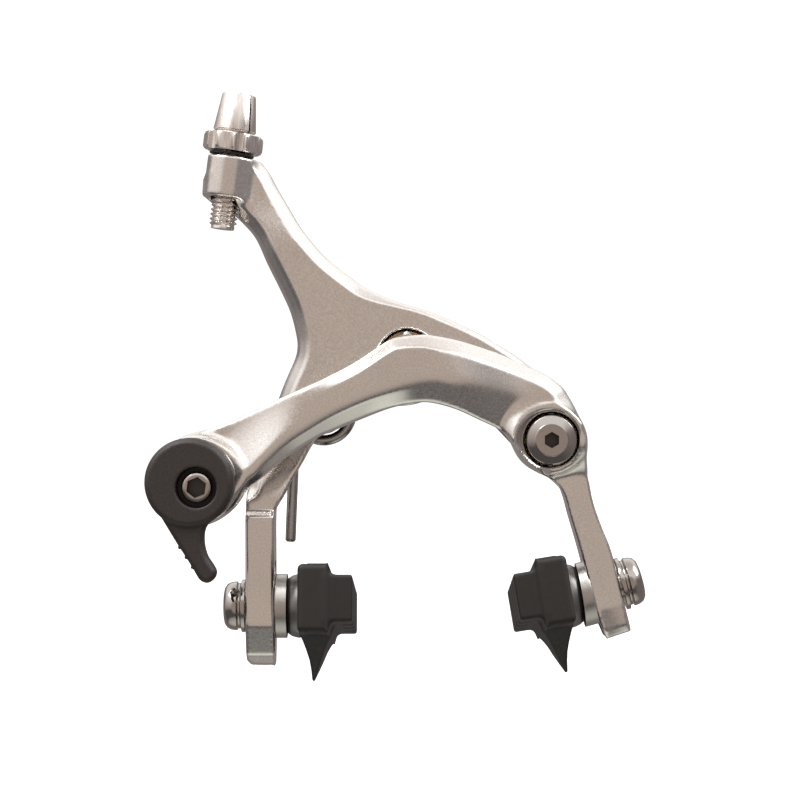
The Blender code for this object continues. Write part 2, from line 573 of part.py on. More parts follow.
def make_c_arm():
    arch = between(BOSS, SIDE, [(0.12, 11.7), (0.25, 15.1), (0.37, 17.9), (0.47, 20.6), (0.57, 24.5),
                                (0.66, 25.2), (0.76, 23.2), (0.91, 18.4), (1.01, 14.3), (1.06, 9.0)])
    arch += [(SIDE[0] + SIDE_HUB_R, SIDE[1] - 1.0), (SIDE[0] + 3, SIDE[1] - SIDE_HUB_R),
             (SIDE[0] - 4.5, SIDE[1] - SIDE_HUB_R + 1.2)]
    arch += between(BOSS, SIDE, [(0.86, 3.3), (0.74, 8.6), (0.64, 11.0), (0.56, 10.5), (0.39, 7.0),
                                 (0.25, 2.7), (0.12, -3.5), (0.0, -6.0), (-0.05, 3.0), (0.02, 7.5)])
    arm = outline("c_arm", arch, ARCH_BACK, ARCH_FRONT, "aluminium", "c_arm", bevel=EDGE_BEVEL,
                  round_corners=True)
    hub_face = (SIDE[0] + 3.5, SIDE[1] - 3.0)
    cut(arm, rod("hub_face", SIDE_HUB_R + 4, -SIDE_HUB_FRONT - FACE_STEP, 60, pivot_frame(hub_face)))
    cut(arm, rod("boss_face", CAM_BOSS_R + 2, -CAM_BOSS_FRONT - FACE_STEP, 60, pivot_frame(BOSS)))
    join(arm, rod("cam_boss", CAM_BOSS_R, -ARCH_BACK - FACE_STEP, -CAM_BOSS_FRONT, pivot_frame(BOSS)))
    join(arm, rod("side_hub", SIDE_HUB_R, -ARM_BACK, -SIDE_HUB_FRONT, pivot_frame(SIDE)))
    up, inward = right_axes()
    middle = Vector((RIGHT_BOLT[0], LEG_MID, RIGHT_BOLT[1]))
    end = middle - up * RIGHT_LEG_TAIL
    leg_length = (Vector((SIDE[0], 0, SIDE[1])) - Vector((end.x, 0, end.z))).length - SIDE_HUB_R - GAP
    leg_frame = frame_at(end + up * leg_length / 2, (0, -1, 0), up)
    join(arm, bevel_edges(block("right_leg", (LEG_THICK, leg_length, LEG_DEPTH), leg_frame), 1.2))
    upper, lower = (SIDE[0] + 1.2, SIDE[1] - 3.0), (SIDE[0] + 5.4, SIDE[1] - 12.5)
    shoulder = link_outline(upper, SIDE_HUB_R - 0.8, lower, 4.0)
    join(arm, outline("right_shoulder", shoulder, ARM_BACK - 0.4, SIDE_HUB_FRONT + 2.0))
    lug_back = LEG_MID + 3.4
    lug_depth = lug_back - ARCH_BACK + 0.6
    lug_z = CENTERING_TIP - LUG_PLAY - LUG_HEIGHT / 2
    lug_frame = frame_at((CENTERING_X, lug_back - lug_depth / 2, lug_z))
    join(arm, block("centering_lug", (LUG_WIDTH, LUG_HEIGHT, lug_depth), lug_frame))
    cut(arm, rod("cap_pocket", SIDE_CAP_R + 0.5, -CAP_FLOOR, 60, pivot_frame(SIDE)))
    cut(arm, rod("side_bore", SIDE_SHANK_R + 2 * GAP + BUSH_WALL, -10, 60, pivot_frame(SIDE)))
    cam_bore = CAM_R + 2 * GAP + CAM_WALL
    cut(arm, rod("cam_bore", cam_bore, -10, 60, pivot_frame(BOSS)))
    low = -REACH_SHORT - SLOT_TRAVEL - RIGHT_BOLT[1]
    slot_mid = middle + up * (low + SLOT_TRAVEL / 2)
    cut(arm, slot_cutter("right_slot", slot_mid, inward, up))
    ring("cam_bush", cam_bore - GAP, CAM_R + GAP, -ARCH_BACK + GAP, -CAM_BOSS_FRONT - GAP, pivot_frame(BOSS),
         "nylon", "c_arm")
    washer_low = -CAM_BOSS_FRONT + GAP
    ring("release_spring_washer", CAM_BOSS_R - 0.8, cam_bore + 0.4, washer_low,
         washer_low + SPRING_WASHER_THICK, pivot_frame(BOSS), "spring_steel", "c_arm")


def make_release():
    """Lever with its round face, the eccentric cam behind it, and the anchor bolt through both."""
    disc_back = -CAM_BOSS_FRONT + 2 * GAP + SPRING_WASHER_THICK
    disc_front = disc_back + LEVER_DISC_THICK
    disc_centre = (BOSS[0] + LEVER_SHIFT[0], BOSS[1] + LEVER_SHIFT[1])
    face = [(0, disc_front), (LEVER_DISC_R - LEVER_CHAMFER, disc_front),
            (LEVER_DISC_R, disc_front - LEVER_CHAMFER), (LEVER_DISC_R, disc_back), (0, disc_back)]
    lever = turned("release_lever", face, pivot_frame(disc_centre), "black_plastic", "release_lever",
                   steps=36)
    x, z = disc_centre
    blade = [(x - 8.0, z + 3.5), (x - 8.3, z - 3.5), (x - 5.4, z - 8.5), (x - 3.2, z - 13.2),
             (x - 0.6, z - 17.4), (x + 1.8, z - 20.2), (x + 4.3, z - 21.2), (x + 5.2, z - 19.4),
             (x + 4.0, z - 15.8), (x + 3.9, z - 12.0), (x + 5.2, z - 8.8), (x + 8.0, z - 3.5)]
    blade = outline("lever_blade", blade, -disc_back - 0.4, -disc_front + 1.4, bevel=0.8, round_corners=True)
    join(lever, blade)
    pocket_floor = disc_front - LEVER_POCKET_DEPTH
    cut(lever, rod("anchor_pocket", ANCHOR_POCKET_R, pocket_floor, 60, pivot_frame(ANCHOR)))
    cut(lever, rod("anchor_hole", ANCHOR_R + GAP, 0, 60, pivot_frame(ANCHOR)))
    cam_low = -ARCH_BACK - 0.2
    cam = rod("release_cam", CAM_R, cam_low, disc_back - GAP, pivot_frame(BOSS), "steel", "release_lever")
    cut(cam, rod("cam_anchor_hole", ANCHOR_R + GAP, 0, 60, pivot_frame(ANCHOR)))
    plate_high = cam_low - GAP
    plate_low = plate_high - CLAMP_THICK
    nut_high = plate_low - GAP
    nut_low = nut_high - ANCHOR_NUT_THICK
    head_low, head_high = pocket_floor + GAP, disc_front - 0.8
    socket_r, socket_depth = ANCHOR_SOCKET
    bolt = [(0, head_high - socket_depth), (socket_r, head_high - socket_depth), (socket_r, head_high),
            (ANCHOR_HEAD_R - 0.4, head_high), (ANCHOR_HEAD_R, head_high - 0.4), (ANCHOR_HEAD_R, head_low),
            (ANCHOR_R, head_low), (ANCHOR_R, nut_low - 1.0), (0, nut_low - 1.0)]
    turned("anchor_bolt", bolt, pivot_frame(ANCHOR), "chrome", "anchor_bolt")
    clamp_end = (ANCHOR[0] + CLAMP_REACH[0], ANCHOR[1] + CLAMP_REACH[1])
    clamp_shape = link_outline(ANCHOR, CLAMP_R, clamp_end, CLAMP_R - 0.2)
    clamp = outline("cable_clamp_plate", clamp_shape, -plate_low, -plate_high, "steel", "anchor_bolt")
    cut(clamp, rod("clamp_hole", ANCHOR_R + GAP, 0, 60, pivot_frame(ANCHOR)))
    hexagon_bore = (ANCHOR_R + GAP) / math.cos(math.pi / 6)
    ring("anchor_nut", ANCHOR_NUT_R, hexagon_bore, nut_low, nut_high, pivot_frame(ANCHOR), "steel",
         "anchor_bolt", steps=6)


# ---------------------------------------------------------------- pads
def make_pad_group(side, inner_face, inward, up, shoe_inward, shoe_up):
    """Bolt and washers through a leg, and the shoe and pad inside it.

    inner_face is the point where the bolt's axis leaves the leg towards the rim. The shoe may roll on the
    bolt, so it has its own directions.
    """
    bolt_frame = frame_at(inner_face, inward, up)
    shoe_frame = frame_at(inner_face, shoe_inward, shoe_up)
    slide_body, shoe_body = side + "_bolt", side + "_shoe"
    outer = -LEG_THICK - THIN_GAP
    ring(side + "_outer_washer", OUTER_WASHER_R, BOLT_R + GAP, outer - OUTER_WASHER_THICK, outer, bolt_frame,
         "chrome", slide_body)
    outer -= OUTER_WASHER_THICK + THIN_GAP
    ring(side + "_lock_washer", LOCK_WASHER_R, BOLT_R + GAP, outer - LOCK_WASHER_THICK, outer, bolt_frame,
         "chrome", slide_body)
    outer -= LOCK_WASHER_THICK + THIN_GAP
    boss_start = THIN_GAP + INNER_WASHER_THICK + THIN_GAP
    stem_end = boss_start + SHOE_BOSS_LENGTH + STEM_LENGTH
    (socket_r, socket_depth), dome_r = PAD_BOLT_SOCKET, 3.0
    head = outer - BOLT_HEAD_HEIGHT
    bolt = [(0, stem_end - 1.5), (BOLT_R, stem_end - 1.5), (BOLT_R, outer), (BOLT_HEAD_R, outer),
            (BOLT_HEAD_R, outer - 0.8), (BOLT_HEAD_R - 0.8, outer - 2.1), (dome_r, head), (socket_r, head),
            (socket_r, head + socket_depth), (0, head + socket_depth)]
    turned(side + "_pad_bolt", bolt, bolt_frame, "chrome", slide_body)
    seat = ring(side + "_inner_washer", INNER_WASHER_R, BOLT_R + GAP, THIN_GAP, boss_start + 1.5, bolt_frame,
                "chrome", slide_body)
    seat_depth = 6.0
    seat_cut = shoe_frame @ Matrix.Translation((0, 0, (boss_start - THIN_GAP + seat_depth / 2) * MM))
    cut(seat, block(side + "_seat_plane", (30, 30, seat_depth), seat_cut))
    hole_end = stem_end - 1.2
    pad_back = boss_start + SHOE_BOSS_LENGTH
    holder = [(0, stem_end), (STEM_R, stem_end), (STEM_R, pad_back), (SHOE_BASE_R, pad_back),
              (SHOE_BOSS_R, boss_start), (BOLT_R + GAP, boss_start), (BOLT_R + GAP, hole_end), (0, hole_end)]
    holder = turned(side + "_shoe_holder", holder, shoe_frame, "shoe_metal", shoe_body)
    cut(holder, rod(side + "_bolt_space", BOLT_R + GAP, boss_start - 3, hole_end, bolt_frame))
    make_pad(side, shoe_frame, pad_back + GAP, shoe_body)


def make_pad(side, shoe_frame, back, body):
    """Rubber pad, tilted nose up, with a fin under its base."""
    nose = -1 if side == "left" else 1
    tilted = shoe_frame @ Matrix.Rotation(nose * PAD_NOSE_UP, 4, "Z")
    base_mid = tilted @ Matrix.Translation((0, 0, (back + PAD_BASE_THICK / 2) * MM))
    pad = block(side + "_brake_pad", (PAD_LENGTH, PAD_BASE_HEIGHT, PAD_BASE_THICK), base_mid, "rubber", body)
    bevel_edges(pad, 1.2)
    block_back = back + PAD_BASE_THICK - 1.0
    block_depth = BLOCK_THICK + 1.0
    block_mid = tilted @ Matrix.Translation((0, 0, (block_back + block_depth / 2) * MM))
    pad_block = block(side + "_pad_block", (PAD_LENGTH - 2, BLOCK_HEIGHT, block_depth), block_mid)
    join(pad, bevel_edges(pad_block, 0.6))
    fin_height = FIN_DROP + 3.0
    fin_place = Matrix.Translation((0, (-PAD_BASE_HEIGHT / 2 - FIN_DROP + fin_height / 2) * MM,
                                    (back + PAD_BASE_THICK / 2) * MM))
    fin = wedge(side + "_pad_fin", FIN_LENGTH, fin_height, PAD_BASE_THICK - 1.4, 1.2, tilted @ fin_place)
    join(pad, fin)
    cut(pad, rod(side + "_stem_space", STEM_R + GAP, back - 5, back + STEM_LENGTH, shoe_frame))


def wedge(name, length, height, thick_top, thick_tip, frame):
    """Block whose lower edge is thinner and shorter than its upper one."""
    cutter = block(name, (length, height, thick_top), frame)
    for vertex in cutter.data.vertices:
        if vertex.co.y < 0:
            vertex.co.z *= thick_tip / thick_top
            vertex.co.x *= 0.25
    return cutter


def make_pads():
    left_face = Vector((LEFT_LEG_X + LEG_THICK / 2, LEG_MID, LEFT_BOLT_Z))
    right, high = Vector((1, 0, 0)), Vector((0, 0, 1))
    make_pad_group("left", left_face, right, high, right, high)
    up, inward = right_axes()
    right_face = Vector((RIGHT_BOLT[0], LEG_MID, RIGHT_BOLT[1])) + inward * LEG_THICK / 2
    shoe_inward = Vector((-math.cos(RIGHT_SHOE_ROLL), 0, -math.sin(RIGHT_SHOE_ROLL)))
    shoe_up = Vector((-math.sin(RIGHT_SHOE_ROLL), 0, math.cos(RIGHT_SHOE_ROLL)))
    make_pad_group("right", right_face, inward, up, shoe_inward, shoe_up)


def make_bodies():
    add_body("y_arm", CENTRE[0], 0, CENTRE[1])
    add_body("c_arm", SIDE[0], 0, SIDE[1])
    add_body("release_lever", BOSS[0], 0, BOSS[1], "c_arm")
    add_body("anchor_bolt", ANCHOR[0], 0, ANCHOR[1], "release_lever")
    add_body("adjuster_nut", ADJUSTER_FOOT[0], LEG_MID, ADJUSTER_FOOT[1], "y_arm")
    add_body("adjuster_barrel", ADJUSTER_FOOT[0], LEG_MID, ADJUSTER_FOOT[1], "y_arm")
    add_body("centering_screw", CENTERING_X, LEG_MID, 0, "y_arm")
    add_body("left_bolt", LEFT_LEG_X, LEG_MID, LEFT_BOLT_Z, "y_arm")
    add_body("left_shoe", LEFT_LEG_X, LEG_MID, LEFT_BOLT_Z, "left_bolt")
    add_body("right_bolt", RIGHT_BOLT[0], LEG_MID, RIGHT_BOLT[1], "c_arm")
    inner = Vector((RIGHT_BOLT[0], LEG_MID, RIGHT_BOLT[1])) + right_axes()[1] * LEG_THICK / 2
    add_body("right_shoe", inner.x, inner.y, inner.z, "right_bolt")


def main():
    start_scene()
    add_material("aluminium", (0.55, 0.52, 0.50), 0.25, 1.0)
    add_material("chrome", (0.62, 0.60, 0.58), 0.15, 1.0)
    add_material("steel", (0.42, 0.41, 0.40), 0.35, 1.0)
    add_material("shoe_metal", (0.20, 0.19, 0.19), 0.45, 0.9)
    add_material("spring_steel", (0.35, 0.34, 0.33), 0.3, 1.0)
    add_material("brass", (0.60, 0.47, 0.25), 0.35, 1.0)
    add_material("nylon", (0.04, 0.04, 0.04), 0.5, 0.0)
    add_material("black_plastic", (0.055, 0.048, 0.044), 0.5, 0.0)
    add_material("rubber", (0.06, 0.053, 0.05), 0.75, 0.0)
    make_bodies()
    make_bracket()
    make_centre_pivot()
    make_side_pivot()
    make_return_spring()
    make_y_arm()
    make_adjuster()
    make_c_arm()
    make_release()
    make_pads()
    for obj in parts.objects:
        if obj.type == "MESH":
            smooth(obj)


main()
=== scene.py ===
"""Looks of the rim brake caliper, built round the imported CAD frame.

Lengths in this script are millimetres in the CAD's own frame; meshes are scaled to metres when made.
"""
import json
import math

import bmesh
import bpy
import numpy as np
from mathutils import Matrix, Vector

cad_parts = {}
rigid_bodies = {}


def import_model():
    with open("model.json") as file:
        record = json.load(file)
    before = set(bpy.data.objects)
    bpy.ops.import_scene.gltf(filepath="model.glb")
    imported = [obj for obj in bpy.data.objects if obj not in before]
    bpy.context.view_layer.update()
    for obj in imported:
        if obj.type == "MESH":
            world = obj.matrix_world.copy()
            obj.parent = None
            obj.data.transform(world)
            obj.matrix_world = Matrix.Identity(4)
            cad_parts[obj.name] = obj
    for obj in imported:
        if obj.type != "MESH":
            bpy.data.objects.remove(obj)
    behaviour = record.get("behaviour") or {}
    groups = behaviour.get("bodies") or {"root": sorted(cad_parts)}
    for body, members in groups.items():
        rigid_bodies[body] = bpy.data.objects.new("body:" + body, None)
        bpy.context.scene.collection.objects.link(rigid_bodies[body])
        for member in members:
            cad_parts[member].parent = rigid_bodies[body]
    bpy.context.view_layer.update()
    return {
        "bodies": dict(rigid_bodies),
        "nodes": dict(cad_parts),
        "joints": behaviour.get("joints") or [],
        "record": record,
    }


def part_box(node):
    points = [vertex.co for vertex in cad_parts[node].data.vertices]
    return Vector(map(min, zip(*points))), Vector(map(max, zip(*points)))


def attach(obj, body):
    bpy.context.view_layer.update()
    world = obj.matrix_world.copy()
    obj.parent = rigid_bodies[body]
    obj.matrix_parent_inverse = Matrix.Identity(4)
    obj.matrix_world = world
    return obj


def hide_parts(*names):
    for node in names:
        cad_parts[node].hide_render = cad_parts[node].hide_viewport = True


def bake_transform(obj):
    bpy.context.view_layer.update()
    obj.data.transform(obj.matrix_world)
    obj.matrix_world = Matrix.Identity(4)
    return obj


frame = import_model()

MM = 0.001
TAU = 2 * math.pi
joints = {joint["name"]: joint for joint in frame["joints"]}
bodies = frame["record"]["behaviour"]["bodies"]
node_body = {node: body for body, nodes in bodies.items() for node in nodes}


def joint_point(name):
    return Vector(joints[name]["pos_m"]) / MM


def joint_axis(name):
    return Vector(joints[name]["axis"]).normalized()


def node_box(node):
    low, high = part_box(node)
    return low / MM, high / MM


# Pivots and axes, read from the joints
SIDE = joint_point("c_arm_pivot")
BOSS = joint_point("release_lever_turn")
ANCHOR = joint_point("anchor_swivel")
CENTRE = Vector((0, 0, 0))
BARREL_AXIS = joint_axis("adjuster_nut_turn")
LEG_MID, LEG_THICK = -12.0, 6.2
SLOT_TRAVEL, SLOT_WIDTH = 10.0, 6.3
GAP = 0.3                       # clearance between pieces that touch

# Depths along Y (the front is negative)
ARM_BACK = node_box("center_thrust_washer")[0].y - 0.3
HUB_FRONT, WEB_FRONT, POCKET_FLOOR = ARM_BACK - 8.7, ARM_BACK - 8.4, ARM_BACK - 5.1
ARCH_FRONT, ARCH_BACK = -27.0, -17.5
SIDE_HUB_FRONT, CAP_FLOOR = -21.9, -19.0
CAM_BOSS_FRONT = -25.4
LEG_FRONT, LEG_BACK = -17.5, -6.5

# Radii
HUB_R, POCKET_R = 10.0, 6.0
SIDE_HUB_R, CAP_POCKET_R = 7.3, 5.85
BOSS_R, CAM_BORE_R, CABLE_BOSS_R = 9.0, 6.4, 5.0


# ---------------------------------------------------------------- placing
def frame_at(point, axis=(0, -1, 0), up=(0, 0, 1)):
    """Matrix at a point in mm, with local +Z along the axis and local +Y close to up."""
    z = Vector(axis).normalized()
    y = Vector(up)
    y = (y - y.dot(z) * z).normalized()
    matrix = Matrix((y.cross(z), y, z)).transposed().to_4x4()
    matrix.translation = Vector(point) * MM
    return matrix


def pivot_frame(point):
    """Frame on an axis along Y through a point, with local +Z to the front and its zero at y = 0."""
    return frame_at((point[0], 0, point[2]))


def stand_for(obj, node, material):
    """Let a piece take a CAD node's place: it rides on the node's body, takes the given material in its first
    slot, and the node is hidden.
    """
    if obj.data.materials:
        obj.data.materials[0] = material
    else:
        obj.data.materials.append(material)
    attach(obj, node_body[node])
    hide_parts(node)
    return obj


def new_object(name, mesh, matrix=None):
    obj = bpy.data.objects.new(name, mesh)
    bpy.context.scene.collection.objects.link(obj)
    if matrix is not None:
        mesh.transform(matrix)
    return obj


def baked(obj):
    """Apply an object's modifiers to its mesh."""
    depsgraph = bpy.context.evaluated_depsgraph_get()
    mesh = bpy.data.meshes.new_from_object(obj.evaluated_get(depsgraph))
    obj.modifiers.clear()
    obj.data = mesh
    return obj


def smooth(obj, angle=30):
    obj.data.shade_smooth()
    obj.data.set_sharp_from_angle(angle=math.radians(angle))
    return obj


# ---------------------------------------------------------------- solids from distance fields
def smax(a, b, soft):
    """Larger of two distances, with a rounded edge of about that radius where they meet."""
    spread = np.maximum(soft - np.abs(a - b), 0.0) / soft
    return np.maximum(a, b) + spread * spread * soft / 4


def smin(a, b, soft):
    return -smax(-a, -b, soft)


def ramp(value, low, high):
    """Smooth step from 0 at low to 1 at high."""
    t = np.clip((value - low) / (high - low), 0.0, 1.0)
    return t * t * (3 - 2 * t)


def capsule(x, z, start, end, radius, end_radius=None):
    """Distance in a plane to a bar with round ends, whose radius may change along it."""
    dx, dz = end[0] - start[0], end[1] - start[1]
    t = np.clip(((x - start[0]) * dx + (z - start[1]) * dz) / (dx * dx + dz * dz), 0, 1)
    thick = radius if end_radius is None else radius + (end_radius - radius) * t
    return np.hypot(x - start[0] - t * dx, z - start[1] - t * dz) - thick


def round_box(x, y, z, half, corner):
    """Distance to a box of these half sizes with rounded edges."""
    qx, qy, qz = (np.abs(value) - size + corner for value, size in zip((x, y, z), half))
    outside = np.sqrt(np.maximum(qx, 0) ** 2 + np.maximum(qy, 0) ** 2 + np.maximum(qz, 0) ** 2)
    return outside + np.minimum(np.maximum(qx, np.maximum(qy, qz)), 0) - corner


def spline(points, steps=7):
    """Smooth curve through the points (Catmull-Rom)."""
    knots = np.array(points, float)
    knots = np.vstack([2 * knots[0] - knots[1], knots, 2 * knots[-1] - knots[-2]])
    t = np.linspace(0, 1, steps, endpoint=False)[:, None]
    pieces = []
    for a, b, c, d in zip(knots, knots[1:], knots[2:], knots[3:]):
        pieces.append(0.5 * (2 * b + (c - a) * t + (2 * a - 5 * b + 4 * c - d) * t ** 2
                             + (3 * b - a - 3 * c + d) * t ** 3))
    return np.vstack([*pieces, knots[-2]])


def curve_distance(x, z, curve, closed=False):
    """Distance in the XZ plane to a curve, and for a closed one negative inside it."""
    nearest = np.full(np.broadcast(x, z).shape, 1e9)
    inside = np.zeros(nearest.shape, bool)
    ends = np.roll(curve, -1, axis=0) if closed else curve[1:]
    for (ax, az), (bx, bz) in zip(curve, ends):
        dx, dz = bx - ax, bz - az
        length = dx * dx + dz * dz
        if length < 1e-12:
            continue
        t = np.clip(((x - ax) * dx + (z - az) * dz) / length, 0, 1)
        nearest = np.minimum(nearest, (x - ax - t * dx) ** 2 + (z - az - t * dz) ** 2)
        if closed:
            crosses = (az > z) != (bz > z)
            inside ^= crosses & (x < ax + (z - az) * dx / (dz if dz else 1e-12))
    distance = np.sqrt(nearest)
    return np.where(inside, -distance, distance)


def side_distance(x, z, curve):
    """Distance to an open curve that runs left to right: positive below it and negative above."""
    height = np.interp(x, curve[:, 0], curve[:, 1])
    distance = curve_distance(x, z, curve)
    return np.where(z < height, distance, -distance)


def slope_scale(depth, step):
    """What turns a height above a relief into a distance from it."""
    along_x, along_z = np.gradient(depth[:, 0, :], step)
    return (1 / np.sqrt(1 + along_x ** 2 + along_z ** 2))[:, None, :]


def sculpt(name, low, high, step, field, matrix=None, settle=3):
    """Mesh of the surface where field(x, y, z) is zero, inside a box; it is negative in the solid."""
    axes = [np.arange(a, b + step, step) for a, b in zip(low, high)]
    x, y, z = np.ix_(*axes)
    values = np.asarray(field(x, y, z), np.float32)
    values = np.broadcast_to(values, [len(axis) for axis in axes]).copy()
    points, quads = surface_net(values)
    slopes = np.gradient(values)
    for _ in range(settle):
        height = sample(values, points)
        slope = np.stack([sample(part, points) for part in slopes], axis=1)
        shift = (height / np.maximum((slope ** 2).sum(1), 1e-6))[:, None] * slope
        points -= np.clip(shift, -0.4, 0.4)
    points = (points * step + np.array(low)) * MM
    mesh = bpy.data.meshes.new(name)
    mesh.from_pydata(points.tolist(), [], quads.tolist())
    mesh.update()
    mesh.shade_smooth()
    return new_object(name, mesh, matrix)


def sculpt_for(node, name, step, field, material, margin=1.0):
    """Sculpted piece in a CAD node's place, inside the node's box and a margin."""
    low, high = node_box(node)
    edge = Vector((margin, margin, margin))
    return stand_for(sculpt(name, low - edge, high + edge, step, field), node, material)


def sample(values, points):
    """Values of a grid at points between its nodes."""
    limits = np.array(values.shape) - 2
    base = np.clip(np.floor(points).astype(int), 0, limits)
    part = np.clip(points - base, 0, 1)
    total = np.zeros(len(points))
    for corner in range(8):
        offset = np.array([corner & 1, corner >> 1 & 1, corner >> 2])
        weight = np.where(offset, part, 1 - part).prod(1)
        i, j, k = (base + offset).T
        total += weight * values[i, j, k]
    return total


def surface_net(values):
    """Points and quads of the zero surface: a point in each crossed cell, a quad round each crossed edge."""
    inside = values < 0
    filled = np.zeros([size - 1 for size in values.shape], np.int8)
    for corner in range(8):
        i, j, k = corner & 1, corner >> 1 & 1, corner >> 2
        filled += inside[i:inside.shape[0] - 1 + i, j:inside.shape[1] - 1 + j, k:inside.shape[2] - 1 + k]
    cells = np.argwhere((filled > 0) & (filled < 8))
    index = np.full(filled.shape, -1)
    index[tuple(cells.T)] = np.arange(len(cells))
    total, count = np.zeros((len(cells), 3)), np.zeros(len(cells))
    quads = []
    unit = np.eye(3, dtype=int)
    for axis in range(3):
        first, second = unit[(axis + 1) % 3], unit[(axis + 2) % 3]
        for corner in (0 * first, first, second, first + second):
            start = cells + corner
            a, b = values[tuple(start.T)], values[tuple((start + unit[axis]).T)]
            crossed = (a < 0) != (b < 0)
            t = a[crossed] / (a[crossed] - b[crossed])
            total[crossed] += start[crossed] + t[:, None] * unit[axis]
            count[crossed] += 1
        here = [slice(None)] * 3
        there = [slice(None)] * 3
        here[axis], there[axis] = slice(0, -1), slice(1, None)
        edge_in, edge_out = inside[tuple(here)], inside[tuple(there)]
        edges = np.argwhere(edge_in != edge_out)
        edges = edges[(edges[:, (axis + 1) % 3] > 0) & (edges[:, (axis + 2) % 3] > 0)]
        ring = [index[tuple((edges - offset).T)] for offset in (0 * first, first, first + second, second)]
        ring = np.stack(ring, axis=1)
        ring = ring[(ring >= 0).all(1)], edge_in[tuple(edges[(ring >= 0).all(1)].T)]
        quads.append(np.where(ring[1][:, None], ring[0], ring[0][:, ::-1]))
    return total / count[:, None], np.vstack(quads)


# ---------------------------------------------------------------- turned solids
def revolve(name, profile, matrix=None, steps=96, radius_rule=None):
    """Solid of revolution about local Z from (radius, height) points, outer side first, top down.

    A profile that starts off the axis is closed into a ring. radius_rule(turn, radius, height) may change
    the radius round the turn, for flutes and threads.
    """
    solid = profile[0][0] == 0
    rows = profile[1:-1] if solid else profile
    turn = np.arange(steps) * TAU / steps
    points, faces = [], []
    for radius, height in rows:
        reach = np.full(steps, float(radius)) if radius_rule is None else radius_rule(turn, radius, height)
        points += zip(reach * np.cos(turn), reach * np.sin(turn), np.full(steps, height))
    count = len(rows)
    for row in range(count if not solid else count - 1):
        upper, lower = row * steps, (row + 1) % count * steps
        for i in range(steps):
            j = (i + 1) % steps
            faces.append((upper + i, lower + i, lower + j, upper + j))
    if solid:
        top, bottom = len(points), len(points) + 1
        points += [(0, 0, profile[0][1]), (0, 0, profile[-1][1])]
        last = (count - 1) * steps
        for i in range(steps):
            j = (i + 1) % steps
            faces.append((top, i, j))
            faces.append((bottom, last + j, last + i))
    mesh = bpy.data.meshes.new(name)
    mesh.from_pydata([tuple(value * MM for value in point) for point in points], [], faces)
    mesh.update()
    return smooth(new_object(name, mesh, matrix))


def rounded(profile, radius=0.25, steps=3):
    """Profile with its corners rounded, apart from those on the axis."""
    closed = profile[0][0] > 0
    points = [Vector(point) for point in profile]
    result = []
    for i, point in enumerate(points):
        if not closed and i in (0, len(points) - 1):
            result.append(tuple(point))
            continue
        before, after = points[i - 1] - point, points[(i + 1) % len(points)] - point
        reach = min(radius, before.length * 0.45, after.length * 0.45)
        start, end = point + before.normalized() * reach, point + after.normalized() * reach
        if abs(before.normalized().dot(after.normalized())) > 0.985:
            result.append(tuple(point))
            continue
        for step in range(steps + 1):
            t = step / steps
            result.append(tuple(start.lerp(point, t).lerp(point.lerp(end, t), t)))
    return result


def ring_profile(outer, inner, low, high):
    return [(outer, high), (outer, low), (inner, low), (inner, high)]


def washer(node, outer, inner, matrix, material, low, high, edge=0.15):
    obj = revolve(node + "_look", rounded(ring_profile(outer, inner, low, high), edge), matrix)
    return stand_for(obj, node, material)


def prism(name, sides, radius, low, high, matrix, turn=0.0):
    """Regular prism about local Z; its lower end is drawn in like a drilled socket's floor."""
    mesh = bpy.data.meshes.new(name)
    work = bmesh.new()
    rings = []
    for height, reach in ((high, radius), (low, radius)):
        rings.append([work.verts.new((reach * MM * math.cos(turn + TAU * i / sides),
                                      reach * MM * math.sin(turn + TAU * i / sides), height * MM))
                      for i in range(sides)])
    tip = work.verts.new((0, 0, (low + (0.35 if low < high else -0.35) * -radius) * MM))
    work.faces.new(rings[0])
    for i in range(sides):
        j = (i + 1) % sides
        work.faces.new((rings[0][i], rings[1][i], rings[1][j], rings[0][j]))
        work.faces.new((rings[1][i], tip, rings[1][j]))
    bmesh.ops.recalc_face_normals(work, faces=work.faces)
    work.to_mesh(mesh)
    work.free()
    return new_object(name, mesh, matrix)


def carve(obj, *tools):
    """Cut closed solids out of a piece and bake the result; the cut faces get a dark material that paints the
    shade inside the cuts.
    """
    obj.data.materials.append(M["steel"])
    for tool in tools:
        # painted shade: the cutter's dark material goes onto the faces it cuts, standing in for the shade
        # inside sockets, slots and bores
        tool.data.materials.append(M["painted_socket_shade"])
        modifier = obj.modifiers.new("Cut", "BOOLEAN")
        modifier.operation = "DIFFERENCE"
        modifier.object = tool
        modifier.material_mode = "TRANSFER"
    baked(obj)
    for tool in tools:
        bpy.data.objects.remove(tool, do_unlink=True)
    return smooth(obj)


def thread_rule(core, crest, pitch, low, high, flat=None):
    """Radius rule of a right-hand thread between two heights, with an optional flat along one side."""
    fade = pitch * 0.8

    def rule(turn, radius, height):
        if not low <= height <= high or radius < core - 0.01:
            reach = np.full(len(turn), float(radius))
        else:
            phase = (height / pitch - turn / TAU) % 1.0
            ridge = np.clip(1.25 - 2.5 * np.abs(phase - 0.5) * 1.15, 0, 1)
            ends = min(1.0, (height - low) / fade, (high - height) / fade)
            reach = core + (crest - core) * ridge * max(ends, 0.0)
        if flat is not None and height <= high:
            facing = np.cos(turn - flat[1])
            reach = np.where(facing > 0.3, np.minimum(reach, flat[0] / np.maximum(facing, 0.3)), reach)
        return reach

    return rule


def threaded_rows(radius, low, high, spacing=0.09):
    count = max(2, int((high - low) / spacing))
    return [(radius, high + (low - high) * i / count) for i in range(count + 1)]


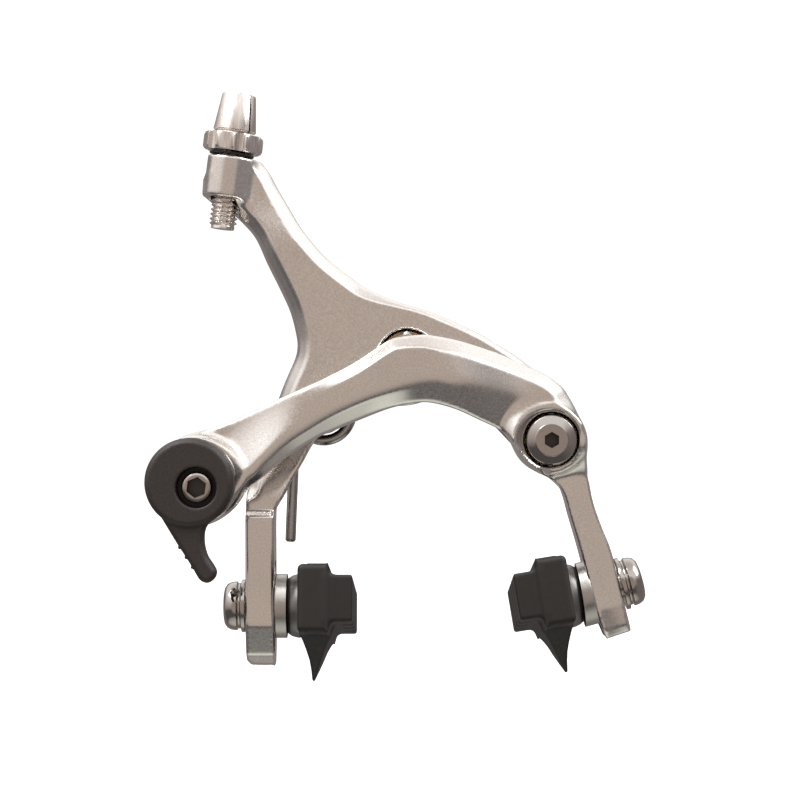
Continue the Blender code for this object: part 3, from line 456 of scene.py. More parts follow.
def tube(name, points, radius, sides=20, end_round=0.5):
    """Round wire through (x, y, z) points in mm, with slightly rounded ends."""
    path = [Vector(point) for point in points]
    start, end = (path[0] - path[1]).normalized(), (path[-1] - path[-2]).normalized()
    rows = [(path[0], radius - end_round), (path[0] - start * end_round, radius)]
    rows += [(point, radius) for point in path[1:-1]]
    rows += [(path[-1] - end * end_round, radius), (path[-1], radius - end_round)]
    work = bmesh.new()
    normal = (path[1] - path[0]).orthogonal().normalized()
    rings = []
    for i, (point, reach) in enumerate(rows):
        before, after = rows[max(i - 1, 0)][0], rows[min(i + 1, len(rows) - 1)][0]
        along = (after - before).normalized()
        normal = (normal - normal.dot(along) * along).normalized()
        other = along.cross(normal)
        rings.append([work.verts.new((point + reach * (math.cos(TAU * s / sides) * normal
                                                       + math.sin(TAU * s / sides) * other)) * MM)
                      for s in range(sides)])
    for lower, upper in zip(rings, rings[1:]):
        for s in range(sides):
            n = (s + 1) % sides
            work.faces.new((lower[s], lower[n], upper[n], upper[s]))
    work.faces.new(rings[0][::-1])
    work.faces.new(rings[-1])
    bmesh.ops.recalc_face_normals(work, faces=work.faces)
    mesh = bpy.data.meshes.new(name)
    work.to_mesh(mesh)
    work.free()
    return smooth(new_object(name, mesh), 50)


# ---------------------------------------------------------------- materials
def noise(nodes, links, coordinates, scale, detail=2.0):
    texture = nodes.new("ShaderNodeTexNoise")
    texture.inputs["Scale"].default_value = scale
    texture.inputs["Detail"].default_value = detail
    links.new(coordinates, texture.inputs["Vector"])
    return texture.outputs["Fac"]


def remap(nodes, links, value, low, high, from_low=0.3, from_high=0.7):
    node = nodes.new("ShaderNodeMapRange")
    node.inputs["From Min"].default_value = from_low
    node.inputs["From Max"].default_value = from_high
    node.inputs["To Min"].default_value = low
    node.inputs["To Max"].default_value = high
    links.new(value, node.inputs["Value"])
    return node.outputs["Result"]


def mixed(nodes, links, factor, first, second, blend="MIX"):
    """Mix of two colours; the factor and the colours are sockets or constants."""
    node = nodes.new("ShaderNodeMix")
    node.data_type = "RGBA"
    node.blend_type = blend
    for socket, value in (("Factor", factor), ("A", first), ("B", second)):
        if isinstance(value, bpy.types.NodeSocket):
            links.new(value, node.inputs[socket])
        else:
            node.inputs[socket].default_value = value
    return node.outputs["Result"]


def surface(name, color, rough, metallic=0.0, grain=0.0, grain_scale=3000.0, patch=0.0, bump=0.0,
            rough_spread=0.05, stretch=(1, 1, 1)):
    """Material with grain in its colour, roughness and bump, and slow patches of tone."""
    material = bpy.data.materials.new(name)
    material.use_nodes = True
    nodes, links = material.node_tree.nodes, material.node_tree.links
    shader = nodes["Principled BSDF"]
    shader.inputs["Metallic"].default_value = metallic
    place = nodes.new("ShaderNodeTexCoord").outputs["Object"]
    if stretch != (1, 1, 1):
        mapping = nodes.new("ShaderNodeMapping")
        mapping.inputs["Scale"].default_value = stretch
        links.new(place, mapping.inputs["Vector"])
        place = mapping.outputs["Vector"]
    fine = noise(nodes, links, place, grain_scale)
    slow = noise(nodes, links, place, 90.0, 3.0)
    darker = (*[c * (1 - grain) for c in color], 1)
    lighter = (*[min(c * (1 + grain), 1) for c in color], 1)
    tone = mixed(nodes, links, remap(nodes, links, fine, 0, 1), darker, lighter)
    grey = nodes.new("ShaderNodeCombineColor")
    level = remap(nodes, links, slow, 1 - patch, 1.0)
    for channel in ("Red", "Green", "Blue"):
        links.new(level, grey.inputs[channel])
    shade = mixed(nodes, links, 1.0, tone, grey.outputs["Color"], "MULTIPLY")
    links.new(shade, shader.inputs["Base Color"])
    roughness = remap(nodes, links, fine, rough - rough_spread, rough + rough_spread)
    links.new(roughness, shader.inputs["Roughness"])
    if bump:
        relief = nodes.new("ShaderNodeBump")
        relief.inputs["Strength"].default_value = 1.0
        relief.inputs["Distance"].default_value = bump * MM
        links.new(fine, relief.inputs["Height"])
        links.new(relief.outputs["Normal"], shader.inputs["Normal"])
    return material


def make_materials():
    return {
        "arm": surface("polished_aluminium", (0.80, 0.765, 0.735), 0.20, 1.0, grain=0.08, grain_scale=2600.0,
                       patch=0.04, bump=0.005, rough_spread=0.05),
        "turned": surface("turned_aluminium", (0.76, 0.71, 0.67), 0.27, 1.0, grain=0.10, grain_scale=2400.0,
                          patch=0.05, bump=0.006, stretch=(1, 1, 0.12)),
        "chrome": surface("bright_chrome", (0.47, 0.435, 0.41), 0.09, 1.0, grain=0.03, grain_scale=2000.0,
                          patch=0.05, bump=0.0005, rough_spread=0.02),
        "steel": surface("zinc_steel", (0.56, 0.54, 0.52), 0.34, 1.0, grain=0.08, grain_scale=1800.0,
                         patch=0.12, bump=0.004),
        "spring": surface("spring_wire", (0.50, 0.48, 0.46), 0.26, 1.0, grain=0.08, grain_scale=1500.0,
                          patch=0.10, bump=0.003),
        "shoe": surface("shoe_grey", (0.235, 0.23, 0.225), 0.36, 0.9, grain=0.10, grain_scale=2500.0,
                        patch=0.08, bump=0.006),
        "bronze": surface("sintered_bronze", (0.55, 0.41, 0.22), 0.42, 1.0, grain=0.15, grain_scale=3500.0,
                          patch=0.15, bump=0.008),
        "nylon": surface("black_nylon", (0.035, 0.033, 0.032), 0.5, 0.0, grain=0.12, grain_scale=1500.0,
                         patch=0.1, bump=0.006),
        # Painted shade: a dark colour for the faces cut by carve(), standing in for the shade inside sockets,
        # slots and bores
        "painted_socket_shade": surface("socket_shadow", (0.10, 0.09, 0.085), 0.45, 0.9, grain=0.2, grain_scale=2500.0,
                          patch=0.3, bump=0.004),
        "lever": surface("lever_coating", (0.034, 0.026, 0.024), 0.52, 0.0, grain=0.22, grain_scale=2200.0,
                         patch=0.1, bump=0.022, rough_spread=0.08),
        "rubber": surface("pad_rubber", (0.011, 0.008, 0.007), 0.55, 0.0, grain=0.18, grain_scale=1800.0,
                          patch=0.2, bump=0.012, rough_spread=0.08),
    }


M = make_materials()


# ---------------------------------------------------------------- front arm
ARCH_TOP = [(-50.5, -21.5), (-47.0, -17.6), (-42.5, -15.6), (-36.4, -13.4), (-30.8, -10.8), (-26.8, -8.9),
            (-18.3, -5.1), (-11.5, -1.6), (-4.4, 3.1), (-1.5, 4.1), (2.4, 4.55), (4.9, 4.5), (10.4, 3.5),
            (14.9, 2.2), (21.7, -0.1), (29.3, -3.3), (32.6, -5.8), (34.3, -8.3), (35.7, -10.8),
            (36.6, -13.4), (37.4, -15.9), (37.8, -18.4), (38.1, -20.9), (38.7, -25.9), (39.7, -30.9),
            (41.4, -35.9), (43.6, -41.5), (46.0, -51.0), (48.0, -58.6)]
ARCH_LOW = [(42.6, -60.3), (40.4, -54.5), (37.1, -41.9), (34.9, -34.3), (33.4, -29.2), (31.3, -26.6),
            (29.1, -24.8), (25.1, -21.9), (22.1, -17.9), (19.6, -15.5), (15.1, -13.3), (10.5, -11.2),
            (5.9, -9.9), (2.5, -9.7), (-3.2, -10.8), (-9.8, -13.3), (-15.8, -15.8), (-18.8, -17.1),
            (-25.3, -21.2), (-30.0, -25.1), (-34.2, -28.4), (-37.8, -32.2), (-43.0, -35.0),
            (-49.0, -33.4)]
LOWER_RIDGE = [(-50.0, -33.0), (-42.0, -30.6), (-34.4, -25.0), (-30.5, -21.4), (-26.2, -17.5),
               (-21.9, -14.6), (-16.5, -11.4), (-11.1, -8.9), (-5.7, -6.9), (1.3, -4.9), (5.8, -4.4),
               (10.3, -4.9), (14.9, -5.6), (19.3, -6.5), (23.9, -7.8), (28.5, -10.0)]


def front_arm_field(x, y, z, step):
    """Front arm: an arch of faceted section, the cable boss, the side hub and the right leg."""
    top = spline(ARCH_TOP)
    contour = np.vstack([top, spline(ARCH_LOW)])
    edge = curve_distance(x, z, contour, closed=True)
    top_edge = curve_distance(x, z, top)
    below = side_distance(x, z, spline(LOWER_RIDGE))
    hub_radius = np.hypot(x - SIDE.x, z - SIDE.z)
    left = 1 - ramp(x, -33.0, -17.0)
    right = ramp(x, -9.0, 3.0)
    on_leg = ramp(-z, 12.0, 20.0) * ramp(x, 20.0, 30.0)
    off_hub = ramp(hub_radius, 6.8, 11.5) * (1 - on_leg)
    drop = 5.0 * ramp(x + 0.35 * z, 5.0, 27.0) + 4.5 * ramp(-z, 17.0, 26.0) * ramp(x, 26.0, 31.0)
    drop = drop + 1.4 * (1 - ramp(x, -41.0, -30.0))
    band, slope = 1.5, 1.15 - 0.77 * right
    lower = np.where(below < band, below * 0.36, band * 0.36 + (below - band) * slope)
    relief = smax(0 * lower, lower * off_hub, 0.5)
    climb = np.clip(-below - 0.3, 0, 9.0)
    relief = relief + (climb - climb ** 3 / 243.0) * 0.42 * left * off_hub
    top_slope = 0.30 + 1.0 * ramp(x, -20.0, -5.0)
    top_width = 2.2 + 0.7 * ramp(x, -6.0, 8.0)
    relief = smax(relief, top_slope * (top_width - top_edge) * (1 - on_leg), 0.5)
    tip = joint_axis("right_pad_height")
    along = -(x - 42.8) * tip.x - (z + 49.7) * tip.z
    front = relief + drop + 0.16 * np.maximum(0, along - 3.5) + 0.4 * np.maximum(0, along - 8.2)
    scale = slope_scale(front, step)
    face = (ARCH_FRONT + front - y) * scale
    back_drop = 9.9 * (1 - ramp(hub_radius, 8.2, 13.0))
    back_drop = np.maximum(back_drop, 11.0 * ramp(-z, 24.0, 30.0) * ramp(x, 20.0, 26.0))
    back = (y - ARCH_BACK - back_drop) * slope_scale(back_drop + 0 * x + 0 * z, step)
    arm = smax(smax(edge, face, 0.7), back, 1.6)
    boss_back = ARCH_BACK + 0.15
    boss = smax(np.hypot(x - BOSS.x, z - BOSS.z) - BOSS_R,
                np.abs(y - (CAM_BOSS_FRONT + boss_back) / 2) - (boss_back - CAM_BOSS_FRONT) / 2, 0.7)
    arm = smin(arm, boss, 2.6)
    hub_front = (SIDE_HUB_FRONT + 0.26 * np.maximum(0, SIDE.z + 3.0 - z) - y) / 1.03
    hub = smax(smax(hub_radius - SIDE_HUB_R, hub_front, 0.6), y - ARM_BACK, 0.6)
    arm = smin(arm, hub, 1.6)
    lug = round_box(x - 18.5, y + 13.7, z + 11.6, (2.5, 4.4, 2.0), 0.8)
    arm = smin(arm, lug, 1.2)
    return arm, hub_radius


def leg_slot(x, y, z, middle, up):
    """Slot through a leg with round ends, as a distance to its wall (negative in the slot)."""
    along = (x - middle.x) * up.x + (z - middle.z) * up.z
    return capsule(y + 0 * along, along + 0 * y, (LEG_MID, -SLOT_TRAVEL / 2), (LEG_MID, SLOT_TRAVEL / 2),
                   SLOT_WIDTH / 2)


def make_front_arm():
    step = 0.4
    up = joint_axis("right_pad_height")
    inward = Vector((-up.z, 0, up.x))
    bolt = joint_point("right_pad_tilt") - inward * LEG_THICK / 2
    low, high = joints["right_pad_height"]["range_m"]
    slot_middle = bolt + up * (low + high) / 2 / MM

    def field(x, y, z):
        arm, hub_radius = front_arm_field(x, y, z, step)
        flare = (hub_radius - CAP_POCKET_R - np.maximum(0, SIDE_HUB_FRONT + 0.55 - y) * 0.9) / 1.3
        arm = smax(arm, -smax(np.minimum(hub_radius - CAP_POCKET_R, flare), y - CAP_FLOOR, 0.2), 0.2)
        arm = smax(arm, 4.5 - hub_radius + 0 * y, 0.2)
        arm = smax(arm, CAM_BORE_R - np.hypot(x - BOSS.x, z - BOSS.z) + 0 * y, 0.3)
        slot = leg_slot(x, y, z, slot_middle, up)
        near_leg = ramp(-z, 36.0, 38.0)
        arm = smax(arm, -slot * near_leg - (1 - near_leg) * 5.0, 0.35)
        return arm

    sculpt_for("c_arm", "front_arm", step, field, M["arm"], 1.5)


# ---------------------------------------------------------------- rear arm
ARM_LEFT = [(-43.2, 38.0), (-42.9, 35.0), (-41.8, 33.3), (-38.0, 31.2), (-34.7, 28.2), (-32.3, 25.1),
            (-30.0, 20.0), (-27.4, 14.8), (-25.1, 9.7), (-23.8, 4.6), (-23.6, 2.0), (-24.2, -0.6),
            (-26.4, -5.7), (-28.6, -11.5), (-31.0, -17.5), (-33.0, -22.5), (-34.3, -28.5), (-34.5, -33.0),
            (-34.5, -45.0), (-34.5, -65.2)]
ARM_LOW = [(-33.6, -66.4), (-29.2, -66.4), (-28.3, -65.2), (-28.3, -45.0), (-28.3, -34.0), (-27.7, -31.8),
           (-26.6, -30.0), (-24.8, -26.5), (-22.5, -22.6), (-20.3, -18.7), (-17.5, -15.5), (-13.0, -12.4),
           (-7.0, -10.6), (0.0, -10.2), (8.0, -7.6), (14.0, -5.6), (21.0, -6.6), (25.5, -5.6)]
ARM_RIGHT = [(27.0, -2.6), (24.5, -0.6), (20.6, 2.0), (16.3, 4.6), (11.2, 7.1), (4.9, 9.7), (-3.2, 12.3),
             (-8.8, 14.9), (-12.4, 17.4), (-15.5, 19.8), (-18.3, 22.3), (-21.9, 26.6), (-23.6, 29.1),
             (-25.1, 31.7), (-26.6, 34.2), (-28.1, 36.8), (-29.6, 39.6), (-31.5, 42.2)]


NUT_MIDDLE = 18.3               # height of the adjuster nut's joint above the barrel's foot


def barrel_coordinates(x, y, z):
    """Distance from the barrel's axis, and height along it from the adjuster nut's middle."""
    middle = joint_point("adjuster_nut_turn")
    height = (x - middle.x) * BARREL_AXIS.x + (z - middle.z) * BARREL_AXIS.z
    across = (x - middle.x) * BARREL_AXIS.z - (z - middle.z) * BARREL_AXIS.x
    return np.hypot(across, y - middle.y), height


def make_rear_arm():
    step = 0.4
    boss_top, boss_half = 15.7 - NUT_MIDDLE, 4.45

    def field(x, y, z):
        left, low, right = spline(ARM_LEFT), spline(ARM_LOW, 5), spline(ARM_RIGHT)
        contour = np.vstack([left, low, right])
        edge = curve_distance(x, z, contour, closed=True)
        left_edge = curve_distance(x, z, left)
        right_edge = curve_distance(x, z, right)
        on_web = ramp(z, -31.5, -27.5)
        relief = smax(0 * left_edge, 3.2 * (1 - left_edge / 2.6) * on_web, 0.7)
        width = 2.3 - 1.4 * ramp(x, -12.0, 0.0)
        relief = smax(relief, 1.3 * (width - right_edge), 0.5)
        raise_leg = (WEB_FRONT - LEG_FRONT) * (1 - ramp(z, -34.2, -32.6))
        tip = 0.36 * np.maximum(0, -z - 57.2) + 0.9 * np.maximum(0, -z - 63.6)
        neck = 2.6 * ramp(z, -33.0, -20.0) * (1 - ramp(z, -19.0, -12.0)) * (1 - ramp(x, -26.0, -18.0))
        collar = 1.8 * ramp(z, 22.0, 37.0)
        front = relief - raise_leg + tip + neck + collar
        face = (WEB_FRONT + front - y) * slope_scale(front, step)
        leg_back = (LEG_BACK - ARM_BACK) * (1 - ramp(z, -34.5, -32.0))
        back = y - ARM_BACK - np.where(z < -31.0, leg_back, -GAP) + 0 * x
        arm = smax(smax(edge, face, 0.7), back, 1.2)
        radius, height = barrel_coordinates(x, y, z)
        boss = smax(radius - CABLE_BOSS_R, np.abs(height - boss_top + boss_half) - boss_half, 0.35)
        arm = smin(arm, boss, 2.2)
        hub_radius = np.hypot(x, z)
        hub_front = WEB_FRONT + 0.6
        hub = np.abs(y - (hub_front + ARM_BACK) / 2) - (ARM_BACK - hub_front) / 2
        hub = smax(hub_radius - HUB_R, hub, 0.5)
        arm = smin(arm, hub, 1.0)
        arm = smax(arm, -smax(radius - 7.6, boss_top - height, 0.1), 0.4)
        arm = smax(arm, 3.25 - radius, 0.25)
        arm = smax(arm, -smax(hub_radius - POCKET_R, y - POCKET_FLOOR, 0.15), 0.3)
        arm = smax(arm, 4.9 - hub_radius + 0 * y, 0.2)
        screw = np.hypot(x - 18.5, y - LEG_MID)
        near_screw = ramp(z, -12.0, -10.0)
        arm = smax(arm, (2.2 - screw) * near_screw - 5 * (1 - near_screw), 0.3)
        low_end, high_end = joints["left_pad_height"]["range_m"]
        middle = joint_point("left_pad_tilt") + Vector((0, 0, (low_end + high_end) / 2 / MM))
        slot = leg_slot(x, y, z, middle, Vector((0, 0, 1)))
        near_leg = ramp(-z, 38.0, 40.0)
        return smax(arm, -slot * near_leg - (1 - near_leg) * 5.0, 0.35)

    sculpt_for("y_arm", "rear_arm", step, field, M["arm"], 1.5)


# ---------------------------------------------------------------- mounting group
def hexagon_rule(corner, low, high, inside=None):
    """Radius rule that turns rows between two heights into a hexagon of this corner radius.

    With inside given, only rows of a smaller radius than that change.
    """
    def rule(turn, radius, height):
        if not low - 0.01 <= height <= high + 0.01 or (inside and radius > inside):
            return np.full(len(turn), float(radius))
        away = (turn + TAU / 12) % (TAU / 6) - TAU / 12
        return np.minimum(radius, corner * math.cos(TAU / 12) / np.cos(away))

    return rule


COIL = Vector((-18.2, 0, -11.9))    # middle of the return spring's coil
BEND = (17.0, -4.6)                 # bend of the bracket between the pivots


def make_bracket():
    """Bent plate between the pivots, with the tail and ear that carry the return spring."""
    bend_r = 5.4

    def field(x, y, z):
        plate = smin(capsule(x, z, (CENTRE.x, CENTRE.z), BEND, 9.4, bend_r),
                     capsule(x, z, BEND, (SIDE.x, SIDE.z), bend_r, 6.4), 1.0)
        body = smax(plate + 0 * y, np.abs(y + 4.25) - 1.95, 0.7)
        tail = round_box(x + 9.7, y + 3.2, z + 5.8, (1.9, 3.0, 2.2), 0.4)
        ear = capsule(x, z, (-10.1, -5.8), (COIL.x, COIL.z), 2.6, 4.6) + 0 * y
        ear = smax(ear, np.abs(y + 1.1) - 0.8, 0.3)
        body = smin(smin(body, tail, 0.8), ear, 0.8)
        for radius, point in ((3.3, CENTRE), (3.5, SIDE), (1.5, COIL)):
            body = smax(body, radius - np.hypot(x - point.x, z - point.z) + 0 * y, 0.3)
        wire_hole = smax(1.45 - np.hypot(y + 3.35, z + 5.8) + 0 * x, x + 7.0 + 0 * y, 0.2)
        return smax(body, np.minimum(wire_hole, np.where(x < -7.0, 9.0, -9.0) + 0 * wire_hole), 0.2)

    sculpt_for("link_bracket", "link_bracket_look", 0.32, field, M["steel"])


def make_centre_pivot():
    frame = pivot_frame(CENTRE)
    nut_high, nut_low, plate = -HUB_FRONT - 0.2, -POCKET_FLOOR + 1.4, 6.5
    rows = [(0, nut_high), (2.2, nut_high)] + threaded_rows(2.7, nut_low, nut_high - 0.4)
    rows += [(3.6, nut_low), (3.6, plate), (3.0, plate), (3.0, -10.0)]
    rows += threaded_rows(3.0, -23.4, -10.2) + [(2.4, -24.0), (0, -24.0)]
    stud_thread = thread_rule(2.45, 3.0, 1.0, -23.6, -10.0)
    front_thread = thread_rule(2.3, 2.7, 1.0, nut_low, nut_high)

    def threads(turn, radius, height):
        if radius >= 3.1:
            return np.full(len(turn), float(radius))
        return (stud_thread if height < 0 else front_thread)(turn, radius, height)

    stand_for(revolve("center_bolt_look", rows, frame, 64, threads), "center_bolt", M["steel"])
    corner = 5.6
    nut = [(4.9, nut_high), (corner, nut_high - 0.35), (corner, nut_low + 0.35), (4.9, nut_low),
           (3.0, nut_low), (3.0, nut_high)]
    nut = revolve("pivot_nut_look", nut, frame, 96, hexagon_rule(corner, nut_low, nut_high))
    stand_for(nut, "pivot_nut", M["steel"])
    front = -POCKET_FLOOR + 0.3
    washer("center_front_washer", 5.6, 3.9, frame, M["bronze"], front, front + 0.8)
    washer("center_thrust_washer", 8.0, 3.9, frame, M["bronze"], plate, plate + 0.8)
    teeth, inner, outer = 36, 3.3, 7.5
    rows = [(outer, 2.0), (outer, 0.0)] + [(outer + (inner - outer) * i / 6, 0.0) for i in range(1, 7)]
    toothed = revolve("serrated_washer_look", rows + [(inner, 2.0)], frame, teeth * 4)
    inverse = frame.inverted()
    for vertex in toothed.data.vertices:
        local = inverse @ vertex.co
        if abs(local.z) < 1e-5:
            phase = (math.atan2(local.y, local.x) / TAU * teeth) % 1.0
            lift = 0.5 * abs(2 * phase - 1) * MM
            vertex.co = frame @ Vector((local.x, local.y, lift))
    stand_for(smooth(toothed, 20), "serrated_washer", M["steel"])
    socket_r, end, socket_end = 2.9, -31.0, -26.0
    sleeve = [(4.0, -14.0), (4.0, -28.4), (6.0, -28.4), (6.0, end), (socket_r, end), (socket_r, socket_end),
              (3.3, socket_end), (3.3, -14.0)]
    sleeve = revolve("fork_sleeve_nut_look", rounded(sleeve, 0.35), frame, 96,
                     hexagon_rule(socket_r, end, socket_end, 3.2))
    stand_for(sleeve, "fork_sleeve_nut", M["steel"])


def make_side_pivot():
    frame = pivot_frame(SIDE)
    top, low = -SIDE_HUB_FRONT + 0.3, -CAP_FLOOR + 0.3
    cap = [(0, top), (3.35, top), (3.55, top - 0.12), (5.1, top - 0.62), (5.35, top - 0.9), (5.35, low),
           (3.2, low), (3.2, 2.3), (0, 2.3)]
    cap = revolve("side_pivot_bolt_look", rounded(cap, 0.15), frame, 128)
    socket = prism("socket", 6, 1.73, top + 1, top - 2.2, frame, TAU / 12)
    stand_for(carve(cap, socket), "side_pivot_bolt", M["chrome"])
    washer("side_thrust_washer", 6.7, 3.5, frame, M["bronze"], 6.5, 7.3)
    washer("side_pivot_bush", 4.2, 3.5, frame, M["bronze"], -ARM_BACK + GAP, -CAP_FLOOR - GAP)


def make_return_spring():
    radius, turns, wire = 6.1, 1.25, 1.15
    points = [(-10.3, -3.35, -5.8), (-13.0, -3.35, -5.8), (-16.0, -3.35, -5.8)]
    steps = 72
    for step in range(steps + 1):
        angle = TAU / 4 + TAU * turns * step / steps
        points.append((COIL.x + radius * math.cos(angle), -3.35 - 2.6 * step / steps,
                       COIL.z + radius * math.sin(angle)))
    start, end = points[-1], (-25.4, points[-1][1], -40.1)
    for step in range(1, 41):
        t = step / 40
        points.append(tuple(a + (b - a) * t for a, b in zip(start, end)))
    spring = tube("return_spring_look", points, wire, 24, 0.35)
    spring.data.materials.append(M["spring"])
    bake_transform(spring)
    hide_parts("return_spring")
    frame = pivot_frame(COIL)
    holder = [(4.5, 7.0), (4.65, 6.8), (4.65, 2.2), (1.5, 2.2), (1.5, 5.2), (2.8, 5.6), (2.8, 7.0)]
    stand_for(revolve("spring_holder_look", rounded(holder, 0.2), frame), "spring_holder", M["nylon"])
    screw = [(0, 5.9), (0.8, 5.9)] + threaded_rows(1.2, 2.2, 5.7) + [(1.2, 0.0), (2.4, 0.0), (2.3, -0.6),
                                                                     (1.6, -1.1), (0, -1.2)]
    screw = revolve("spring_holder_screw_look", screw, frame, 48, thread_rule(0.95, 1.2, 0.5, 2.2, 5.8))
    slots = []
    for turn in (0, 90):
        place = frame @ Matrix.Rotation(math.radians(turn + 20), 4, "Z")
        place = place @ Matrix.Translation((0, 0, -1.1 * MM))
        slots.append(sculpt("cross", (-1.8, -0.7, -1.0), (1.8, 0.7, 1.0), 0.15,
                            lambda x, y, z: round_box(x, y, z, (1.4, 0.3, 0.55), 0.1), place))
    stand_for(carve(screw, *slots), "spring_holder_screw", M["steel"])


def make_spring_seat():
    low, high = node_box("spring_seat")
    middle, half = (low + high) / 2, (high - low) / 2

    def field(x, y, z):
        body = round_box(x - middle.x, y - middle.y, z - middle.z, half, 0.7)
        groove = 1.5 - np.hypot(x - high.x - 1.1, y - middle.y - 0.15) + 0 * z
        return smax(body, groove, 0.3)

    sculpt_for("spring_seat", "spring_seat_look", 0.22, field, M["nylon"], 0.8)


# ---------------------------------------------------------------- adjuster
def adjuster_frame():
    """Frame on the barrel's axis with its zero at the barrel's foot, local +Y to the back."""
    return frame_at(joint_point("adjuster_nut_turn") - BARREL_AXIS * NUT_MIDDLE, BARREL_AXIS, (0, 1, 0))


def make_adjuster():
    frame = adjuster_frame()
    top, cup, thread = 29.2, 20.9, 2.95
    rows = [(3.25, top), (3.5, top - 0.06), (3.65, top - 0.3), (4.57, cup + 0.75), (4.6, cup + 0.45),
            (4.3, cup + 0.25), (4.3, cup), (thread, cup)]
    rows += threaded_rows(thread, 0.6, cup - 0.1, 0.1) + [(2.5, 0.05), (2.3, 0), (0.95, 0)]
    rows += [(0.9, 0.2), (0.9, top - 5.2), (2.6, top - 5), (2.6, top - 0.3), (2.8, top)]
    barrel = revolve("adjuster_barrel_look", rows, frame, 96,
                     thread_rule(2.42, thread, 1.0, 0.35, cup - 0.2, (2.72, -TAU / 4)))
    slit_place = frame @ Matrix.Rotation(math.radians(-42), 4, "Z")
    slit = sculpt("slit", (-1.8, -0.4, -1.0), (1.8, 0.4, 10.0), 0.1,
                  lambda x, y, z: round_box(x, y, z - 4.5, (1.4, 0.17, 5.2), 0.05),
                  slit_place @ Matrix.Translation((4.0 * MM, 0, cup * MM)))
    carve(barrel, slit)
    stand_for(barrel, "adjuster_barrel", M["turned"])
    low, high, outer = 16.7, 20.6, 6.45
    lands, phase = 6, math.radians(-71)
    flute_distance, flute_r = 6.6, 1.15

    def shape(turn, radius, height):
        if radius < 4:
            return np.full(len(turn), float(radius))
        flute = (turn - phase + math.pi / lands) % (TAU / lands) - math.pi / lands
        land = (turn - phase) % (TAU / lands) - math.pi / lands
        reach = np.minimum(radius, 6.12 / np.cos(land))
        aside = flute_distance * np.sin(np.abs(flute))
        cut = flute_distance * np.cos(flute) - np.sqrt(np.maximum(flute_r ** 2 - aside ** 2, 0))
        return np.where(aside < flute_r, np.minimum(reach, cut), reach)

    rows = [(5.75, high), (6.15, high - 0.25), (outer, high - 0.7), (outer, low + 0.7), (6.15, low + 0.25),
            (5.75, low), (3.25, low), (3.25, high)]
    stand_for(smooth(revolve("adjuster_nut_look", rows, frame, 240, shape), 25), "adjuster_nut", M["turned"])
    washer("adjuster_washer", 4.8, 3.25, frame, M["nylon"], 16.0, 16.4)


def make_centering_screw():
    frame = frame_at((18.5, LEG_MID, 0), (0, 0, 1), (0, 1, 0))
    rows = [(0, 1.8), (1.5, 1.8)] + threaded_rows(1.9, -8.2, 1.5) + [(1.3, -9.0), (0, -9.0)]
    screw = revolve("centering_screw_look", rows, frame, 64, thread_rule(1.6, 1.9, 0.7, -8.4, 1.6))
    socket = prism("socket", 6, 1.15, 3.0, 0.0, frame)
    stand_for(carve(screw, socket), "centering_screw", M["steel"])


def make_bushes():
    washer("y_arm_bush", 4.6, 3.9, pivot_frame(CENTRE), M["bronze"], -ARM_BACK + GAP, -POCKET_FLOOR - GAP)
    washer("cam_bush", 6.1, 5.5, pivot_frame(BOSS), M["nylon"], -ARCH_BACK + GAP, -CAM_BOSS_FRONT - GAP)


# ---------------------------------------------------------------- quick release
DISC = Vector((BOSS.x - 1.1, 0, BOSS.z - 0.2))
BLADE_LEFT = [(-54.1, -26.2), (-53.5, -28.8), (-51.7, -32.0), (-49.2, -36.2), (-47.3, -39.3),
              (-45.6, -41.9), (-44.2, -44.2), (-42.9, -46.3), (-41.4, -47.0), (-40.0, -46.3),
              (-39.5, -44.8), (-40.2, -43.3), (-41.3, -41.6), (-41.95, -39.4), (-42.05, -37.4),
              (-41.7, -35.7), (-40.6, -34.3), (-37.4, -31.6)]


def make_lever():
    def field(x, y, z):
        disc = np.hypot(x - DISC.x, z - DISC.z)
        round_part = smax(disc - 9.2, np.abs(y + 29.7) - 3.0, 0.25)
        round_part = smax(round_part, (disc - 8.3 - y - 32.7) / 1.414, 0.15)
        outline = spline(BLADE_LEFT)
        edge = curve_distance(x, z, np.vstack([outline, [(DISC.x, DISC.z)]]), closed=True)
        for step in range(3):
            tip = Vector((-47.1 + 1.33 * step, 0, -39.7 - 2.05 * step))
            ridge = capsule(x, z, (tip.x, tip.z), (tip.x + 1.0, tip.z + 0.9), 0.32, 0.75)
            edge = np.minimum(edge, ridge)
        bevel = (edge + 0.75 - y - 31.3) / 1.414
        blade = smax(smax(edge, np.abs(y + 29.2) - 2.1, 0.2), bevel, 0.15)
        body = smin(round_part, blade, 0.25)
        pocket = np.hypot(x - ANCHOR.x, z - ANCHOR.z)
        body = smax(body, -smax(pocket - 4.25, y + 28.5, 0.1), 0.25)
        return smax(body, 2.8 - pocket + 0 * y, 0.1)

    sculpt_for("release_lever", "release_lever_look", 0.24, field, M["lever"])


